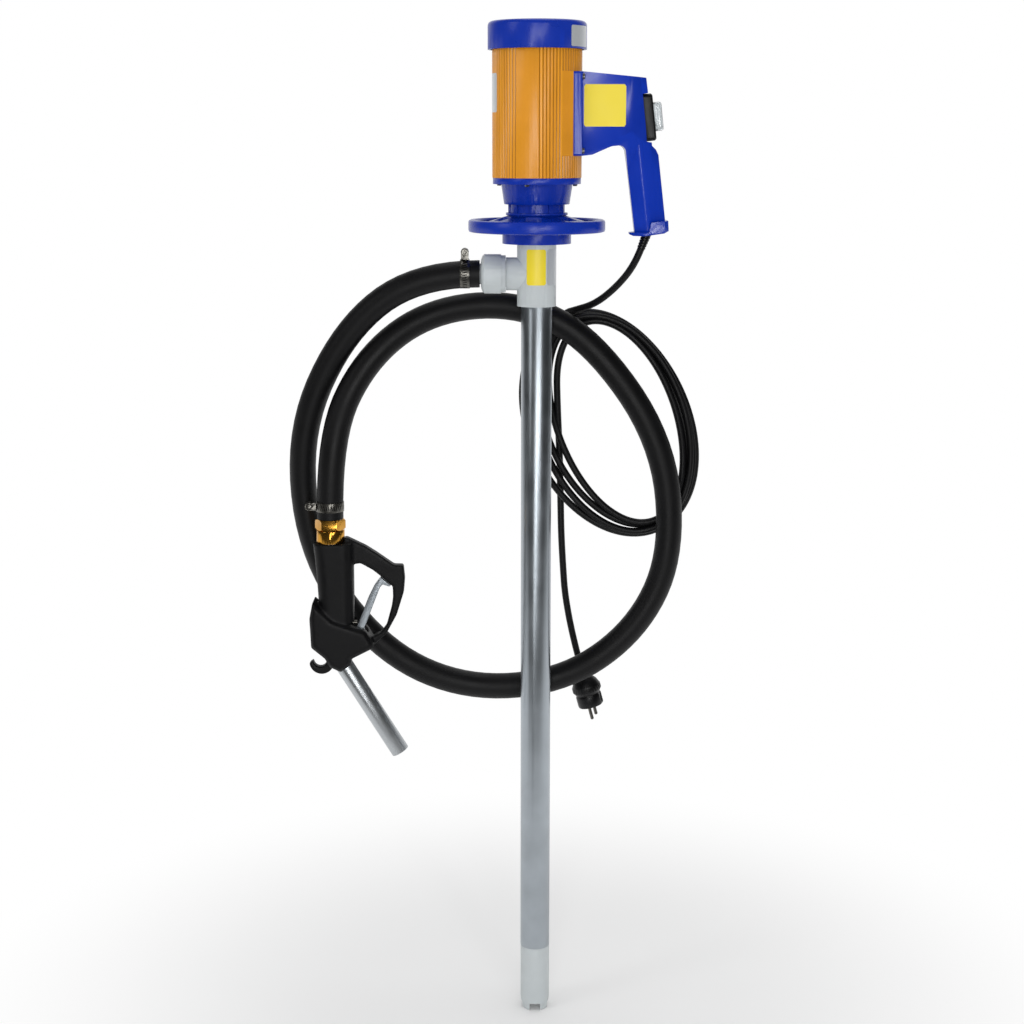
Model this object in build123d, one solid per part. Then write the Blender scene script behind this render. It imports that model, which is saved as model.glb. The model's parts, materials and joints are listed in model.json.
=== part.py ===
from build123d import *
from math import cos, pi, radians, sin, tan
import os

# Electric drum pump: a hand-held mains motor on a pump tube, with a hose, a nozzle and its lead.
# Millimetres, +Z up along the pump shaft. The origin is on the shaft's axis at the top of the
# bare tube, where the discharge body begins. The handle is at +X and the outlet is at -X.

# Clearances
running_gap = 0.3
shaft_fit = 0.05
thread_fit = 0.1

# Pump tube
immersion_length = 1000.0
tube_diameter = 41.0
tube_wall = 2.0
tube_spigot_wall = 1.2
tube_spigot_depth = 26.0
foot_length = 94.0
foot_radius = 20.3
foot_spigot_depth = 22.0
foot_leg_height = 10.0
foot_leg_radius = 17.0
foot_bore_radius = 14.5
inner_tube_radius = 11.0
inner_tube_wall = 1.5
pump_shaft_radius = 4.0
bush_length = 24.0
bush_count = 5
impeller_radius = 12.5
impeller_height = 34.0

# Discharge body
body_radius = 25.8
body_height = 82.0
collar_radius = 33.0
collar_gap = 4.0
collar_height = 8.0
body_chamber_radius = 17.5
outlet_height = 42.2
branch_radius = 21.6
branch_reach = 40.5
branch_thread_radius = 17.5
branch_thread_reach = 59.0
flow_radius = 12.5

# Handwheel
hub_radius = 45.2
hub_height = 15.0
rim_radius = 89.8
rim_width = 10.5
rim_height = 16.0
wheel_window_count = 6
wheel_window_width = 22.5
wheel_window_reach = 16.0
wheel_window_turn = -96.4
wheel_web = 5.0

# Motor
spigot_length = 25.0
neck_flange_height = 3.0
neck_flange_radius = 40.5
neck_radius = 37.5
neck_wall = 4.5
neck_window_height = 11.0
neck_rib_count = 9
neck_rib_width = 7.5
neck_rib_turn = -100.0
deflector_radius = 27.0
cone_low_radius = 42.8
cone_high_radius = 46.75
cone_height = 26.0
cone_wall = 3.0
band_radius = 57.5
band_height = 8.0
register_depth = 5.0
base_screw_inset = 3.5
base_screw_radius = 2.0
base_screw_grip = 16.0
base_screw_count = 4
base_screw_turn = -15.0
base_boss_radius = 4.6
base_boss_height = 22.0
housing_radius = 58.2
housing_wall = 3.5
housing_height = 162.0
housing_hidden = 4.0
flute_count = 80
flute_depth = 1.1
flute_share = 0.5
plain_flutes = (-28, -2)
cap_overhang = 5.7
cap_height = 37.0
cap_wall = 3.0
cap_edge = 6.0
cap_crown = 1.6
bracket_flange = 3.0
bearing_radius = 16.0
bearing_height = 10.0
bearing_inner_radius = 10.0
motor_shaft_radius = 6.0
core_rise = 38.0
core_inset = 97.0
field_ring_wall = 11.5
pole_depth = 15.7
air_gap = 0.8
slot_count = 12
winding_gap = 20.0
commutator_height = 22.0
commutator_radius = 15.0
brush_section = 7.0
brush_length = 16.0
fan_radius = 37.5
fan_blades = 9
coupling_radius = 12.5
coupling_disc = 6.5
claw_height = 8.0
claw_count = 3

# Handle
boss_rise = 28.0
boss_height = 106.0
boss_inset = 12.4
boss_half_width = 40.0
boss_root_turn = 58.7
barrel_flat_depth = 2.2
plate_screw_spread = 36.4
plate_screw_inset = 6.5
plate_screw_radius = 1.8
wire_hole_radius = 8.0
plate_thickness = 11.3
box_half_width = 31.0
handle_wall = 3.0
grip_half_width = 18.0
grip_lean = 6.9
switch_lean = 6.5
switch_height = 60.0
switch_width = 34.0
switch_depth = 16.0
switch_bezel = 13.0
switch_top = (77.8, 78.0)
handle_screw_radius = 3.6
shell_screw_radius = 1.6
shell_screw_head = 3.0
shell_boss_radius = 5.0
grip_root = (56.4, 14.0)
box_under = (38.5, 12.2)
crease_start = (0, box_half_width, 2)
crease_middle = (46.8, box_half_width - 2, 19.1)
crease_end = (76.1, box_half_width - 5, 38.3)
shell_screws = [(12.5, 92, 30.0), (69.5, 89, 27.0), (19.5, 18, 30.0), (78.5, -5, 18.0),
                (84.5, -69, 18.0)]
grip_end = -98.0
heel_height = 15.0
rocker_throw = 10.0

# Outlet, hose and clamps
hose_diameter = 36.0
barb_length = 36.0
nut_radius = 25.4
nut_collar_radius = 24.2
nut_length = 32.6
tail_shank_radius = 13.5
tail_flange = 3.5
gasket_thickness = 1.5
clamp_width = 12.5
clamp_thickness = 1.2
hose_gap = 1.8
outlet_clamp_inset = 19.4
nozzle_clamp_inset = 16.5
clamp_screw_rise = 10.6

# Nozzle
nozzle_x = -279.0
nozzle_top = -320.0
hex_across = 36.0
hex_height = 15.0
swivel_radius = 19.2
swivel_height = 17.2
valve_body_radius = 16.0
spout_radius = 12.5
spout_wall = 1.6
spout_lean = 31.4
spout_length = 144.0
spout_inset = 34.0
lever_pivot = (38.0, -130.0)
lever_thickness = 11.0
lever_pin_radius = 3.0
stem_radius = 3.0
stem_height = 17.0
lever_pin_reach = 16.0
stem_rest = 34.2
stem_seat = 6.5
poppet_thickness = 4.0
valve_spring_seat = -11.0
poppet_radius = 9.0

# Mains lead
lead_diameter = 9.5
relief_length = 20.0
relief_inside = 12.0
relief_radius = 6.4
relief_lean = 21.0
plug_centre = (81.5, 98.0, -582.0)
plug_lean = 15.0
plug_length = 60.0
plug_pin_radius = 2.4
plug_pin_length = 19.0
plug_pin_pitch = 19.0
coil_depth = 25.0
coil_middle = 89.0

# Heights and places worked out from the sizes above
nozzle_hose_end = nozzle_top + swivel_height + hex_height + 0.8
tube_radius = tube_diameter / 2
tube_end = foot_length - immersion_length
collar_low = body_height + collar_gap
collar_high = collar_low + collar_height
neck_flange_low = collar_high + spigot_length
rim_low = body_height + hub_height
rim_high = rim_low + rim_height
window_low = neck_flange_low + neck_flange_height
cone_low = window_low + neck_window_height
band_low = cone_low + cone_height
housing_low = band_low + band_height
housing_high = housing_low + housing_height
rim_seat = housing_high + housing_hidden
cap_top = housing_high + cap_height
cap_radius = housing_radius + cap_overhang
housing_bore = housing_radius - housing_wall
base_screw_circle = housing_bore - base_screw_inset
core_low = housing_low + core_rise
core_height = housing_height - core_inset
field_ring_radius = housing_bore - field_ring_wall
armature_radius = field_ring_radius - pole_depth
commutator_low = core_low + core_height + winding_gap
boss_low = housing_low + boss_rise
boss_face = housing_radius - boss_inset
barrel_flat = housing_radius - barrel_flat_depth
plate_face = boss_face + plate_thickness
boss_root = (housing_radius * cos(radians(boss_root_turn)), housing_radius * sin(radians(boss_root_turn)))
hose_start = branch_reach + running_gap + nut_length + hose_gap
well_width = switch_width / 2
well_height = switch_height / 2 + 1
wheel_top_radius = collar_radius + 5.5
pump_half_low = collar_high + 2 + running_gap
claws_low = pump_half_low + coupling_disc
claws_high = claws_low + claw_height
motor_half_high = claws_high + running_gap + coupling_disc

relief_exit = (plate_face + 86.9, 0.0, boss_low + grip_end - 4)
relief_start = (relief_exit[0] + relief_inside * sin(radians(relief_lean)), 0.0,
                relief_exit[2] + relief_inside * cos(radians(relief_lean)))
relief_end = (relief_exit[0] - relief_length * sin(radians(relief_lean)), 0.0,
              relief_exit[2] - relief_length * cos(radians(relief_lean)))

BASE = (Align.CENTER, Align.CENTER, Align.MIN)
os.makedirs("parts", exist_ok=True)


def save(shape, name):
    """Write one node."""
    export_step(shape, f"parts/{name}.step")


def bar(radius, low, high):
    """A round bar on the pump's axis between two heights."""
    return Pos(0, 0, low) * Cylinder(radius, high - low, align=BASE)


def tube(outer, inner, low, high):
    """A round tube on the pump's axis between two heights."""
    return bar(outer, low, high) - bar(inner, low, high)


def turned(*profile):
    """A body turned about the pump's axis from (radius, height) points."""
    return revolve(Plane.XZ * make_face(Polyline(*profile, close=True)), Axis.Z)


def plate_xz(outline, half_width, middle=0.0):
    """A flat piece with its outline in the XZ plane, centred on one depth."""
    return Pos(0, middle, 0) * extrude(Plane.XZ * outline, half_width, both=True)


def polygon(*points):
    """A filled outline through the points."""
    return make_face(Polyline(*points, close=True))


def block(x_low, x_high, y_half, z_low, z_high):
    """A box between limits, even about the XZ plane."""
    middle = ((x_low + x_high) / 2, 0, (z_low + z_high) / 2)
    return Pos(*middle) * Box(x_high - x_low, 2 * y_half, z_high - z_low)


def around(shape, count, start=0.0):
    """Copies of a shape at even turns about the pump's axis."""
    return [Rot(0, 0, start + 360 / count * turn) * shape for turn in range(count)]


def joined(shapes):
    """Several solids kept apart in one node."""
    solids = [solid for shape in shapes for solid in shape.solids()]
    return Compound(children=solids) if len(solids) > 1 else solids[0]


def bar_between(start, end, radius):
    """A round bar from one point to another."""
    axis = Vector(*end) - Vector(*start)
    return Plane(origin=start, z_dir=axis) * Cylinder(radius, axis.length, align=BASE)


def wedge(angle, reach, low, high):
    """A sector of a disc, centred on +X."""
    half = radians(angle / 2)
    corner = reach / cos(half)
    outline = polygon((0, 0), (corner * cos(half), -corner * sin(half)),
                      (corner * cos(half), corner * sin(half)))
    return Pos(0, 0, low) * extrude(outline, high - low)


def corner_radii(points):
    """The largest arcs that a route's runs allow, one for each corner."""
    spots = [Vector(*point) for point in points]
    runs = [after - before for before, after in zip(spots, spots[1:])]
    radii = []
    for first, second in zip(runs, runs[1:]):
        half_turn = radians(first.get_angle(second)) / 2
        radii.append(0.45 * min(first.length, second.length) / tan(half_turn))
    return radii


def cord_tube(name, points, diameter):
    """A round cord along straight runs joined by arcs."""
    radii = corner_radii(points)
    path = FilletPolyline(*points, radius=radii)
    section = Plane(origin=path @ 0, z_dir=path % 0) * Circle(diameter / 2)
    cord = sweep(section, path=path)
    expected = path.length * pi * diameter * diameter / 4
    print(name, "length", round(path.length), "radii", [round(r) for r in radii])
    print(name, "volume share", round(cord.volume / expected, 4))
    return cord


# Motor casing

def fluted_outline():
    """The housing's section: fine flutes all round, left out on one plain stretch."""
    pitch = 360 / flute_count
    ground = housing_radius - flute_depth
    points = []
    for index in range(flute_count):
        middle = index * pitch
        turn = (middle + 90 + 180) % 360 - 180
        half = pitch * flute_share / 2
        plain = plain_flutes[0] < turn < plain_flutes[1]
        stops = [(middle - half, housing_radius), (middle + half, housing_radius)]
        if not plain:
            stops.append((middle + pitch / 2, ground))
        else:
            stops.append((middle + pitch / 2, housing_radius))
        for angle, radius in stops:
            points.append((radius * cos(radians(angle)), radius * sin(radians(angle))))
    return polygon(*points)


def at_base_screws(shape):
    """Copies of a shape at the screws between band and barrel."""
    return around(Pos(base_screw_circle, 0, 0) * shape, base_screw_count, base_screw_turn)


def plate_screw_places():
    """Where the handle plate's screws pass its outer face, each place's z along the screw."""
    middle = boss_low + boss_height / 2
    reach = boss_height / 2 - plate_screw_inset
    return [Pos(plate_face, y, middle + z) * Rot(0, 90, 0)
            for y in (-plate_screw_spread, plate_screw_spread) for z in (-reach, reach)]


def build_motor_housing():
    """The ribbed barrel with the flat-sided boss that carries the handle."""
    barrel = Pos(0, 0, housing_low) * extrude(fluted_outline(), housing_height)
    collar = bar(housing_radius - flute_depth, housing_high, rim_seat)
    saddle = polygon((0, -boss_root[1] * 0.6), (boss_root[0], -boss_root[1]),
                     (boss_face, -boss_half_width), (boss_face, boss_half_width),
                     (boss_root[0], boss_root[1]), (0, boss_root[1] * 0.6))
    boss = Pos(0, 0, boss_low) * extrude(saddle, boss_height)
    housing = barrel + collar + boss - bar(housing_bore, housing_low, rim_seat)
    screw_boss = bar(base_boss_radius, housing_low + register_depth + running_gap,
                     housing_low + register_depth + base_boss_height)
    thread = bar(base_screw_radius, band_low, housing_low + base_screw_grip)
    for piece in at_base_screws(screw_boss & Pos(-base_boss_radius, 0, 0) * bar(
            2 * base_boss_radius + 1, housing_low, housing_high)):
        housing += piece
    for piece in at_base_screws(thread):
        housing -= piece
    housing -= block(barrel_flat, housing_radius + 5, boss_half_width, boss_low,
                     boss_low + boss_height)
    for place in plate_screw_places():
        housing -= place * Cylinder(plate_screw_radius, 30)
    wires = Pos(boss_face, 0, boss_low + boss_height / 2) * Rot(0, 90, 0)
    return housing - wires * Cylinder(wire_hole_radius, 40)


def build_motor_cap():
    """The overhanging cap: crowned top, rounded edge, open below as the air inlet."""
    inner = cap_radius - cap_wall
    with BuildSketch(Plane.XZ) as section:
        with BuildLine():
            side = Line((cap_radius, housing_high), (cap_radius, cap_top - cap_edge - cap_crown))
            corner = (cap_radius - cap_edge, cap_top - cap_crown)
            edge = RadiusArc(side @ 1, corner, -cap_edge)
            top = Line(edge @ 1, (0, cap_top))
            axis = Line(top @ 1, (0, cap_top - cap_wall))
            roof = Line(axis @ 1, (inner, cap_top - cap_wall - cap_crown))
            wall = Line(roof @ 1, (inner, housing_high))
            Line(wall @ 1, side @ 0)
        make_face()
    shell = revolve(section.sketch, Axis.Z)
    seat = rim_seat + bracket_flange
    lug = Pos(0, 0, seat) * extrude(
        polygon((housing_bore, -2), (inner + 1, -2), (inner + 1, 2), (housing_bore, 2)),
        cap_top - cap_wall - cap_crown - seat + 1)
    for piece in around(lug, 6, 30):
        shell += piece
    return shell


def build_upper_bracket():
    """The top bracket: it rests on the barrel's rim and holds the upper bearing."""
    seat = rim_seat - 12
    return turned((bearing_radius, seat - 1), (housing_bore - shaft_fit, seat - 1),
                  (housing_bore - shaft_fit, rim_seat), (housing_radius - 1, rim_seat),
                  (housing_radius - 1, rim_seat + bracket_flange),
                  (housing_bore - 4, rim_seat + bracket_flange), (housing_bore - 4, seat + 3),
                  (bearing_radius + 4, seat + 3), (bearing_radius + 4, rim_seat + bracket_flange),
                  (bearing_radius, rim_seat + bracket_flange))


def build_end_shield():
    """The lower casting: screw-on spigot, vent neck, fan cone and the band under the barrel."""
    spigot = tube(collar_radius, body_chamber_radius, collar_high, neck_flange_low)
    flange = tube(neck_flange_radius, bearing_radius - 4, neck_flange_low, window_low)
    rib_inner = neck_radius - neck_wall
    hub = turned((bearing_radius, window_low), (rib_inner - 1, window_low),
                 (deflector_radius, cone_low), (bearing_radius, cone_low))
    rib = tube(neck_radius, rib_inner + 1, window_low, cone_low) & block(
        0, neck_radius + 5, neck_rib_width / 2, window_low, cone_low)
    cone = turned((rib_inner, cone_low), (cone_low_radius, cone_low),
                  (cone_high_radius, band_low), (band_radius, band_low),
                  (band_radius, housing_low), (housing_bore - shaft_fit, housing_low),
                  (housing_bore - shaft_fit, housing_low + register_depth),
                  (housing_bore - 3, housing_low + register_depth),
                  (housing_bore - 3, band_low + cone_wall),
                  (cone_high_radius - cone_wall, band_low + cone_wall),
                  (cone_low_radius - cone_wall, cone_low + cone_wall),
                  (rib_inner, cone_low + cone_wall))
    shield = spigot + flange + hub + cone
    for piece in around(rib, neck_rib_count, neck_rib_turn):
        shield += piece
    for piece in at_base_screws(bar(base_screw_radius + running_gap, band_low - 1,
                                    housing_low + register_depth + 1)):
        shield -= piece
    return shield


def build_base_screws():
    """Four screws that hold the band to the barrel from below."""
    shank = bar(base_screw_radius, band_low, housing_low + base_screw_grip)
    head = bar(base_screw_radius + 1.5, band_low - 2.6, band_low)
    return at_base_screws(head + shank)


# Motor inside

def build_field_core():
    """The stacked field iron: a ring with two pole shoes."""
    ring = tube(housing_bore - shaft_fit, field_ring_radius, core_low, core_low + core_height)
    poles = block(-18, 18, field_ring_radius + 2, core_low, core_low + core_height)
    core = ring + (poles & bar(field_ring_radius + 1, core_low, core_low + core_height))
    return core - bar(armature_radius + air_gap, core_low, core_low + core_height)


def build_field_windings():
    """One coil round each pole, standing out above and below the iron."""
    coils = []
    overhang = 13
    for side in (-1, 1):
        outer = Box(56, 9, core_height + 2 * overhang)
        outer = fillet(outer.edges().filter_by(Axis.Y), 9)
        inner = Box(36.4, 9, core_height + 0.4)
        middle = (0, side * (field_ring_radius - 6), core_low + core_height / 2)
        inside = bar(field_ring_radius - 0.5, core_low - overhang, core_low + core_height + overhang)
        coils.append((Pos(*middle) * (outer - inner)) & inside)
    return coils


def build_armature_core():
    """The armature's stacked iron with its winding slots."""
    core = tube(armature_radius, motor_shaft_radius, core_low, core_low + core_height)
    slot = Pos(armature_radius - 5, 0, core_low + core_height / 2) * Box(14, 4, core_height + 2)
    for piece in around(slot, slot_count):
        core -= piece
    return core


def build_armature_winding():
    """The armature's winding: bars in the slots and a wound head at each end."""
    top = core_low + core_height
    winding = turned((motor_shaft_radius + 3, top), (armature_radius - 3, top),
                     (armature_radius - 3, top + 10), (commutator_radius - 1, top + 19),
                     (motor_shaft_radius + 3, top + 19))
    winding += turned((motor_shaft_radius + 3, core_low), (armature_radius - 3, core_low),
                      (armature_radius - 3, core_low - 9), (motor_shaft_radius + 6, core_low - 14),
                      (motor_shaft_radius + 3, core_low - 14))
    filler = Pos(armature_radius - 7.5, 0, core_low + core_height / 2) * Box(8, 3.8, core_height)
    for piece in around(filler, slot_count):
        winding += piece
    return winding


def build_commutator():
    """The commutator with the grooves between its bars."""
    drum = tube(commutator_radius, motor_shaft_radius, commutator_low,
                commutator_low + commutator_height)
    groove = Pos(commutator_radius, 0, commutator_low + commutator_height / 2)
    for piece in around(groove * Box(2, 0.8, commutator_height + 2), slot_count):
        drum -= piece
    return drum


def build_brush_holders():
    """Two open-ended sleeves under the top bracket, one each side of the commutator."""
    height = commutator_low + commutator_height / 2
    under = rim_seat - 13
    holders = []
    for side in (-1, 1):
        low = commutator_radius + 3
        sleeve = block(low, low + 22, 7, height - 7, under)
        sleeve -= block(low - 1, low + 19, brush_section / 2, height - brush_section / 2,
                        height + brush_section / 2)
        holders.append(sleeve if side > 0 else Rot(0, 0, 180) * sleeve)
    return holders


def build_carbon_brushes():
    """Two carbon blocks that ride on the commutator."""
    height = commutator_low + commutator_height / 2
    brush = block(commutator_radius + running_gap, commutator_radius + running_gap + brush_length,
                  brush_section / 2 - shaft_fit, height - brush_section / 2 + shaft_fit,
                  height + brush_section / 2 - shaft_fit)
    return around(brush, 2)


def bearing_outer(low):
    """A sealed bearing's outer ring with its shields."""
    shield = bearing_inner_radius + running_gap
    return turned((shield, low), (bearing_radius, low), (bearing_radius, low + bearing_height),
                  (shield, low + bearing_height), (shield, low + bearing_height - 1),
                  (bearing_radius - 3, low + bearing_height - 1), (bearing_radius - 3, low + 1),
                  (shield, low + 1))


lower_bearing = window_low
upper_bearing = rim_seat - 9


def build_shaft():
    """The motor's shaft, stepped at its lower end for the coupling."""
    return (bar(motor_shaft_radius, motor_half_high, upper_bearing + bearing_height + 2)
            + bar(motor_shaft_radius - 1, claws_low + 2, motor_half_high))


def build_fan():
    """The cooling fan: a dished plate with backward blades below it."""
    low = cone_low + cone_wall + 2
    high = low + 16
    hub = tube(motor_shaft_radius + 5, motor_shaft_radius, low, high + 3)
    plate = tube(fan_radius, motor_shaft_radius, high, high + 2)
    blade = Pos(23, 6, (low + high) / 2) * Rot(0, 0, 35) * Box(26, 2, high - low)
    wheel = hub + plate
    for piece in around(blade & bar(fan_radius, low, high), fan_blades):
        wheel += piece
    return wheel


def build_coupling(disc_low, disc_high, claws_low, claws_high, start, bore):
    """One half of the claw coupling between motor and pump shaft."""
    half = tube(coupling_radius, bore, disc_low, disc_high)
    span = 360 / claw_count / 2 - 4
    claw = wedge(span, coupling_radius, claws_low, claws_high)
    ring = tube(coupling_radius, 6, claws_low, claws_high)
    for piece in around(claw & ring, claw_count, start):
        half += piece
    return half


# Handle, in its own frame: x from the plate's outer face and z from the boss's lower edge

def at_handle(shape):
    """Move a piece from the handle's own frame to its place."""
    return Pos(plate_face, 0, boss_low) * shape


def handle_outline():
    """The handle's side view: box, switch seat, notch, grip and the arch under the box."""
    seat_low = (switch_top[0] + switch_height * tan(radians(switch_lean)),
                switch_top[1] - switch_height)
    outline = polygon((0, boss_height), (82.3, 98.2), (85, switch_top[1] + 1.3), switch_top,
                      seat_low, (91.5, seat_low[1] - 1), (92, 12.7), (97, 8), (100.7, 1),
                      (111, -85), (112.6, grip_end), (70.8, grip_end), grip_root, box_under,
                      (13.9, 1.6), (0, 0))
    for corner, radius in ((grip_root, 9), (box_under, 14)):
        outline = fillet(outline.vertices().sort_by_distance(corner)[0], radius)
    return outline


def flank(start, end, inner, side, inset):
    """What one sloping flank leaves out: all beyond the plane through a crease."""
    start, end, inner = [Vector(x, side * y, z) for x, y, z in (start, end, inner)]
    normal = (end - start).cross(inner - start)
    if normal.Y * side < 0:
        normal = normal * -1
    place = Plane(origin=start, x_dir=end - start, z_dir=normal)
    return place * Pos(0, 0, -inset) * Box(300, 300, 60, align=BASE)


def handle_form(inset):
    """The handle's outer form, or its hollow when inset by the wall."""
    plan = polygon((-5, -box_half_width), (67.5, -box_half_width + 3), (87.5, -20), (87.5, 20),
                   (67.5, box_half_width - 3), (-5, box_half_width))
    for corner, radius in (((67.5, -28), 45), ((67.5, 28), 45), ((87.5, -20), 8), ((87.5, 20), 8)):
        plan = fillet(plan.vertices().sort_by_distance(corner)[0], radius)
    half, edge = grip_half_width, 4.0
    section = polygon((-22, -half / 2), (-2, -half), (22, -half / 3), (22, half / 3), (-2, half),
                      (-22, half / 2))
    for corner, radius in (((-2, -half), 10), ((-2, half), 10), ((-22, -half / 2), edge),
                           ((-22, half / 2), edge), ((22, -half / 3), edge), ((22, half / 3), edge)):
        section = fillet(section.vertices().sort_by_distance(corner)[0], radius)
    side_view = handle_outline()
    if inset:
        plan, section, side_view = [offset(face, -inset) for face in (plan, section, side_view)]
    side_view = plate_xz(side_view, 60)
    box_part = Pos(0, 0, -60) * extrude(plan, 200) & side_view
    for side in (-1, 1):
        box_part -= flank(crease_start, crease_middle, (40, box_half_width - 4, 12), side, inset)
        box_part -= flank(crease_middle, crease_end, (64, grip_half_width - 0.5, 6), side, inset)
    axis = Plane(origin=(91.5, 0, grip_end - 1),
                 x_dir=(cos(radians(grip_lean)), 0, sin(radians(grip_lean))),
                 z_dir=(-sin(radians(grip_lean)), 0, cos(radians(grip_lean))))
    return box_part + (extrude(axis * section, 138) & side_view)


def build_handle_shells():
    """The two halves of the handle, parted on the middle plane."""
    outer = handle_form(0)
    form = outer - handle_form(handle_wall)
    form -= switch_plane() * Pos(0, 0, -switch_depth / 2) * Box(
        switch_width - 6, switch_height - 10, switch_depth * 2)
    form -= block(-1, handle_wall + 1, box_half_width - handle_wall - 1, handle_wall + 1,
                  boss_height - handle_wall - 1)
    for x, z, half_width in shell_screws:
        boss = bar_between((x, -half_width + 1, z), (x, half_width - 1, z), shell_boss_radius)
        form += boss & outer
        form -= bar_between((x, -half_width / 2, z), (x, half_width, z), shell_screw_radius)
        form -= bar_between((x, half_width - 5, z), (x, half_width + 2, z),
                            shell_screw_head + running_gap)
    form = at_handle(form) - bar_between(relief_start, relief_end, relief_radius + shaft_fit)
    half_space = Pos(plate_face, 0, boss_low) * Box(300, 100, 400)
    return form & (Pos(0, -50, 0) * half_space), form & (Pos(0, 50, 0) * half_space)


def build_shell_screws():
    """The screws that draw the rear half of the handle to the front half."""
    screws = []
    for x, z, half_width in shell_screws:
        seat = half_width - 5
        shank = bar_between((x, -half_width / 2 + 1, z), (x, seat, z), shell_screw_radius)
        head = bar_between((x, seat, z), (x, seat + 2.4, z), shell_screw_head)
        screws.append(at_handle(shank + head))
    return screws


def switch_plane():
    """The plane of the switch seat: origin at its middle, z out of the handle, y up."""
    lean = radians(switch_lean)
    middle_x = switch_top[0] + switch_height / 2 * tan(lean)
    return Plane(origin=(middle_x, 0, switch_top[1] - switch_height / 2), x_dir=(0, 1, 0),
                 z_dir=(cos(lean), 0, sin(lean)))


def build_switch_frame():
    """The switch's frame: a deep bezel with an open well, and its body inside the handle."""
    bezel = Pos(0, 0, switch_bezel / 2) * Box(switch_width, switch_height, switch_bezel)
    bezel = fillet(bezel.edges().filter_by(Axis.Z), 5)
    bezel = chamfer(bezel.faces().sort_by(Axis.Z)[-1].edges(), 2)
    body = Pos(0, 0, -switch_depth / 2) * Box(switch_width - 10, switch_height - 24, switch_depth)
    well = Pos(0, 0, -2) * Box(well_width, well_height, switch_bezel + 3, align=BASE)
    return at_handle(switch_plane() * (bezel + body - well))


def build_switch_boot():
    """The clear cover over the rocker: a thin dome with a foot ring on the bezel."""
    outer = Pos(0, 0, switch_bezel) * Box(well_width + 5, well_height + 6, 11, align=BASE)
    outer = fillet(outer.edges().filter_by(Axis.Z), 5)
    outer = fillet(outer.faces().sort_by(Axis.Z)[-1].edges(), 3.5)
    inner = Pos(0, 0, switch_bezel) * Box(well_width + 2.6, well_height + 3.6, 9.8, align=BASE)
    inner = fillet(inner.edges().filter_by(Axis.Z), 4)
    inner = fillet(inner.faces().sort_by(Axis.Z)[-1].edges(), 2.5)
    return at_handle(switch_plane() * (outer - inner))


def build_switch_rocker():
    """The rocker, standing at off: two slopes about a pin on the switch's middle."""
    reach = well_height / 2 - 1.3
    side_view = polygon((-reach, -1), (-reach, 11.4), (0, 8.8), (reach, 11.4), (reach, -1), (5, -5),
                        (-5, -5))
    rocker = extrude(Plane.YZ * side_view, well_width / 2 - 0.9, both=True)
    pin = Rot(0, 90, 0) * Cylinder(2, well_width - 0.4)
    return at_handle(switch_plane() * Pos(0, 0, 4) * Rot(-rocker_throw / 2, 0, 0) * (rocker + pin))


def build_handle_plate():
    """The plate between boss and handle, with the wire passage and its screw holes."""
    plate = block(boss_face, plate_face, boss_half_width, boss_low, boss_low + boss_height)
    plate = fillet(plate.edges().filter_by(Axis.X), 3)
    barrel = bar(housing_radius + running_gap, housing_low, housing_high)
    plate -= barrel & block(0, barrel_flat + running_gap, housing_radius, boss_low - 1,
                            boss_low + boss_height + 1)
    for place in plate_screw_places():
        plate -= place * Cylinder(plate_screw_radius + thread_fit, 3 * plate_thickness)
    wires = Pos(plate_face, 0, boss_low + boss_height / 2) * Rot(0, 90, 0)
    return plate - wires * Cylinder(wire_hole_radius, 2 * plate_thickness)


def build_handle_plate_screws():
    """Four screws through the plate's corners, outside the box."""
    head = bar(handle_screw_radius, 0, 3.2)
    shank = bar(plate_screw_radius, -plate_thickness - 3.5, 0)
    socket = extrude(RegularPolygon(1.6, 6), 2)
    return [place * (head + shank - Pos(0, 0, 1.6) * socket) for place in plate_screw_places()]


def build_grip_end():
    """The grip's foot: a thin lip in front and a thick heel behind, with the lead's hole."""
    side_view = polygon((63.3, grip_end - 0.6), (63.9, grip_end - 2.8), (68.5, grip_end - 4.7),
                        (81.3, grip_end - 5), (108.4, grip_end - 1.4), (115.1, grip_end + 1.6),
                        (114.2, grip_end + heel_height), (91.5, grip_end + heel_height - 2.5),
                        (89, grip_end), (70, grip_end))
    half = [(62.5, 0), (63, 8), (68.5, 15), (87.5, 21.5), (109.5, 20.5), (115.5, 13), (115.5, 0)]
    plan = polygon(*half, *[(x, -y) for x, y in reversed(half[1:-1])])
    form = plate_xz(side_view, 24) & (Pos(0, 0, grip_end - 20) * extrude(plan, 60))
    form = at_handle(form - handle_form(0))
    return form - bar_between(relief_start, relief_end, relief_radius + shaft_fit)


# Pump

def build_outer_tube():
    """The aluminium tube with a turned-down spigot at its top."""
    bore = tube_radius - tube_wall
    return (tube(tube_radius, bore, tube_end, 0)
            + tube(bore + tube_spigot_wall, bore, 0, tube_spigot_depth))


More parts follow.
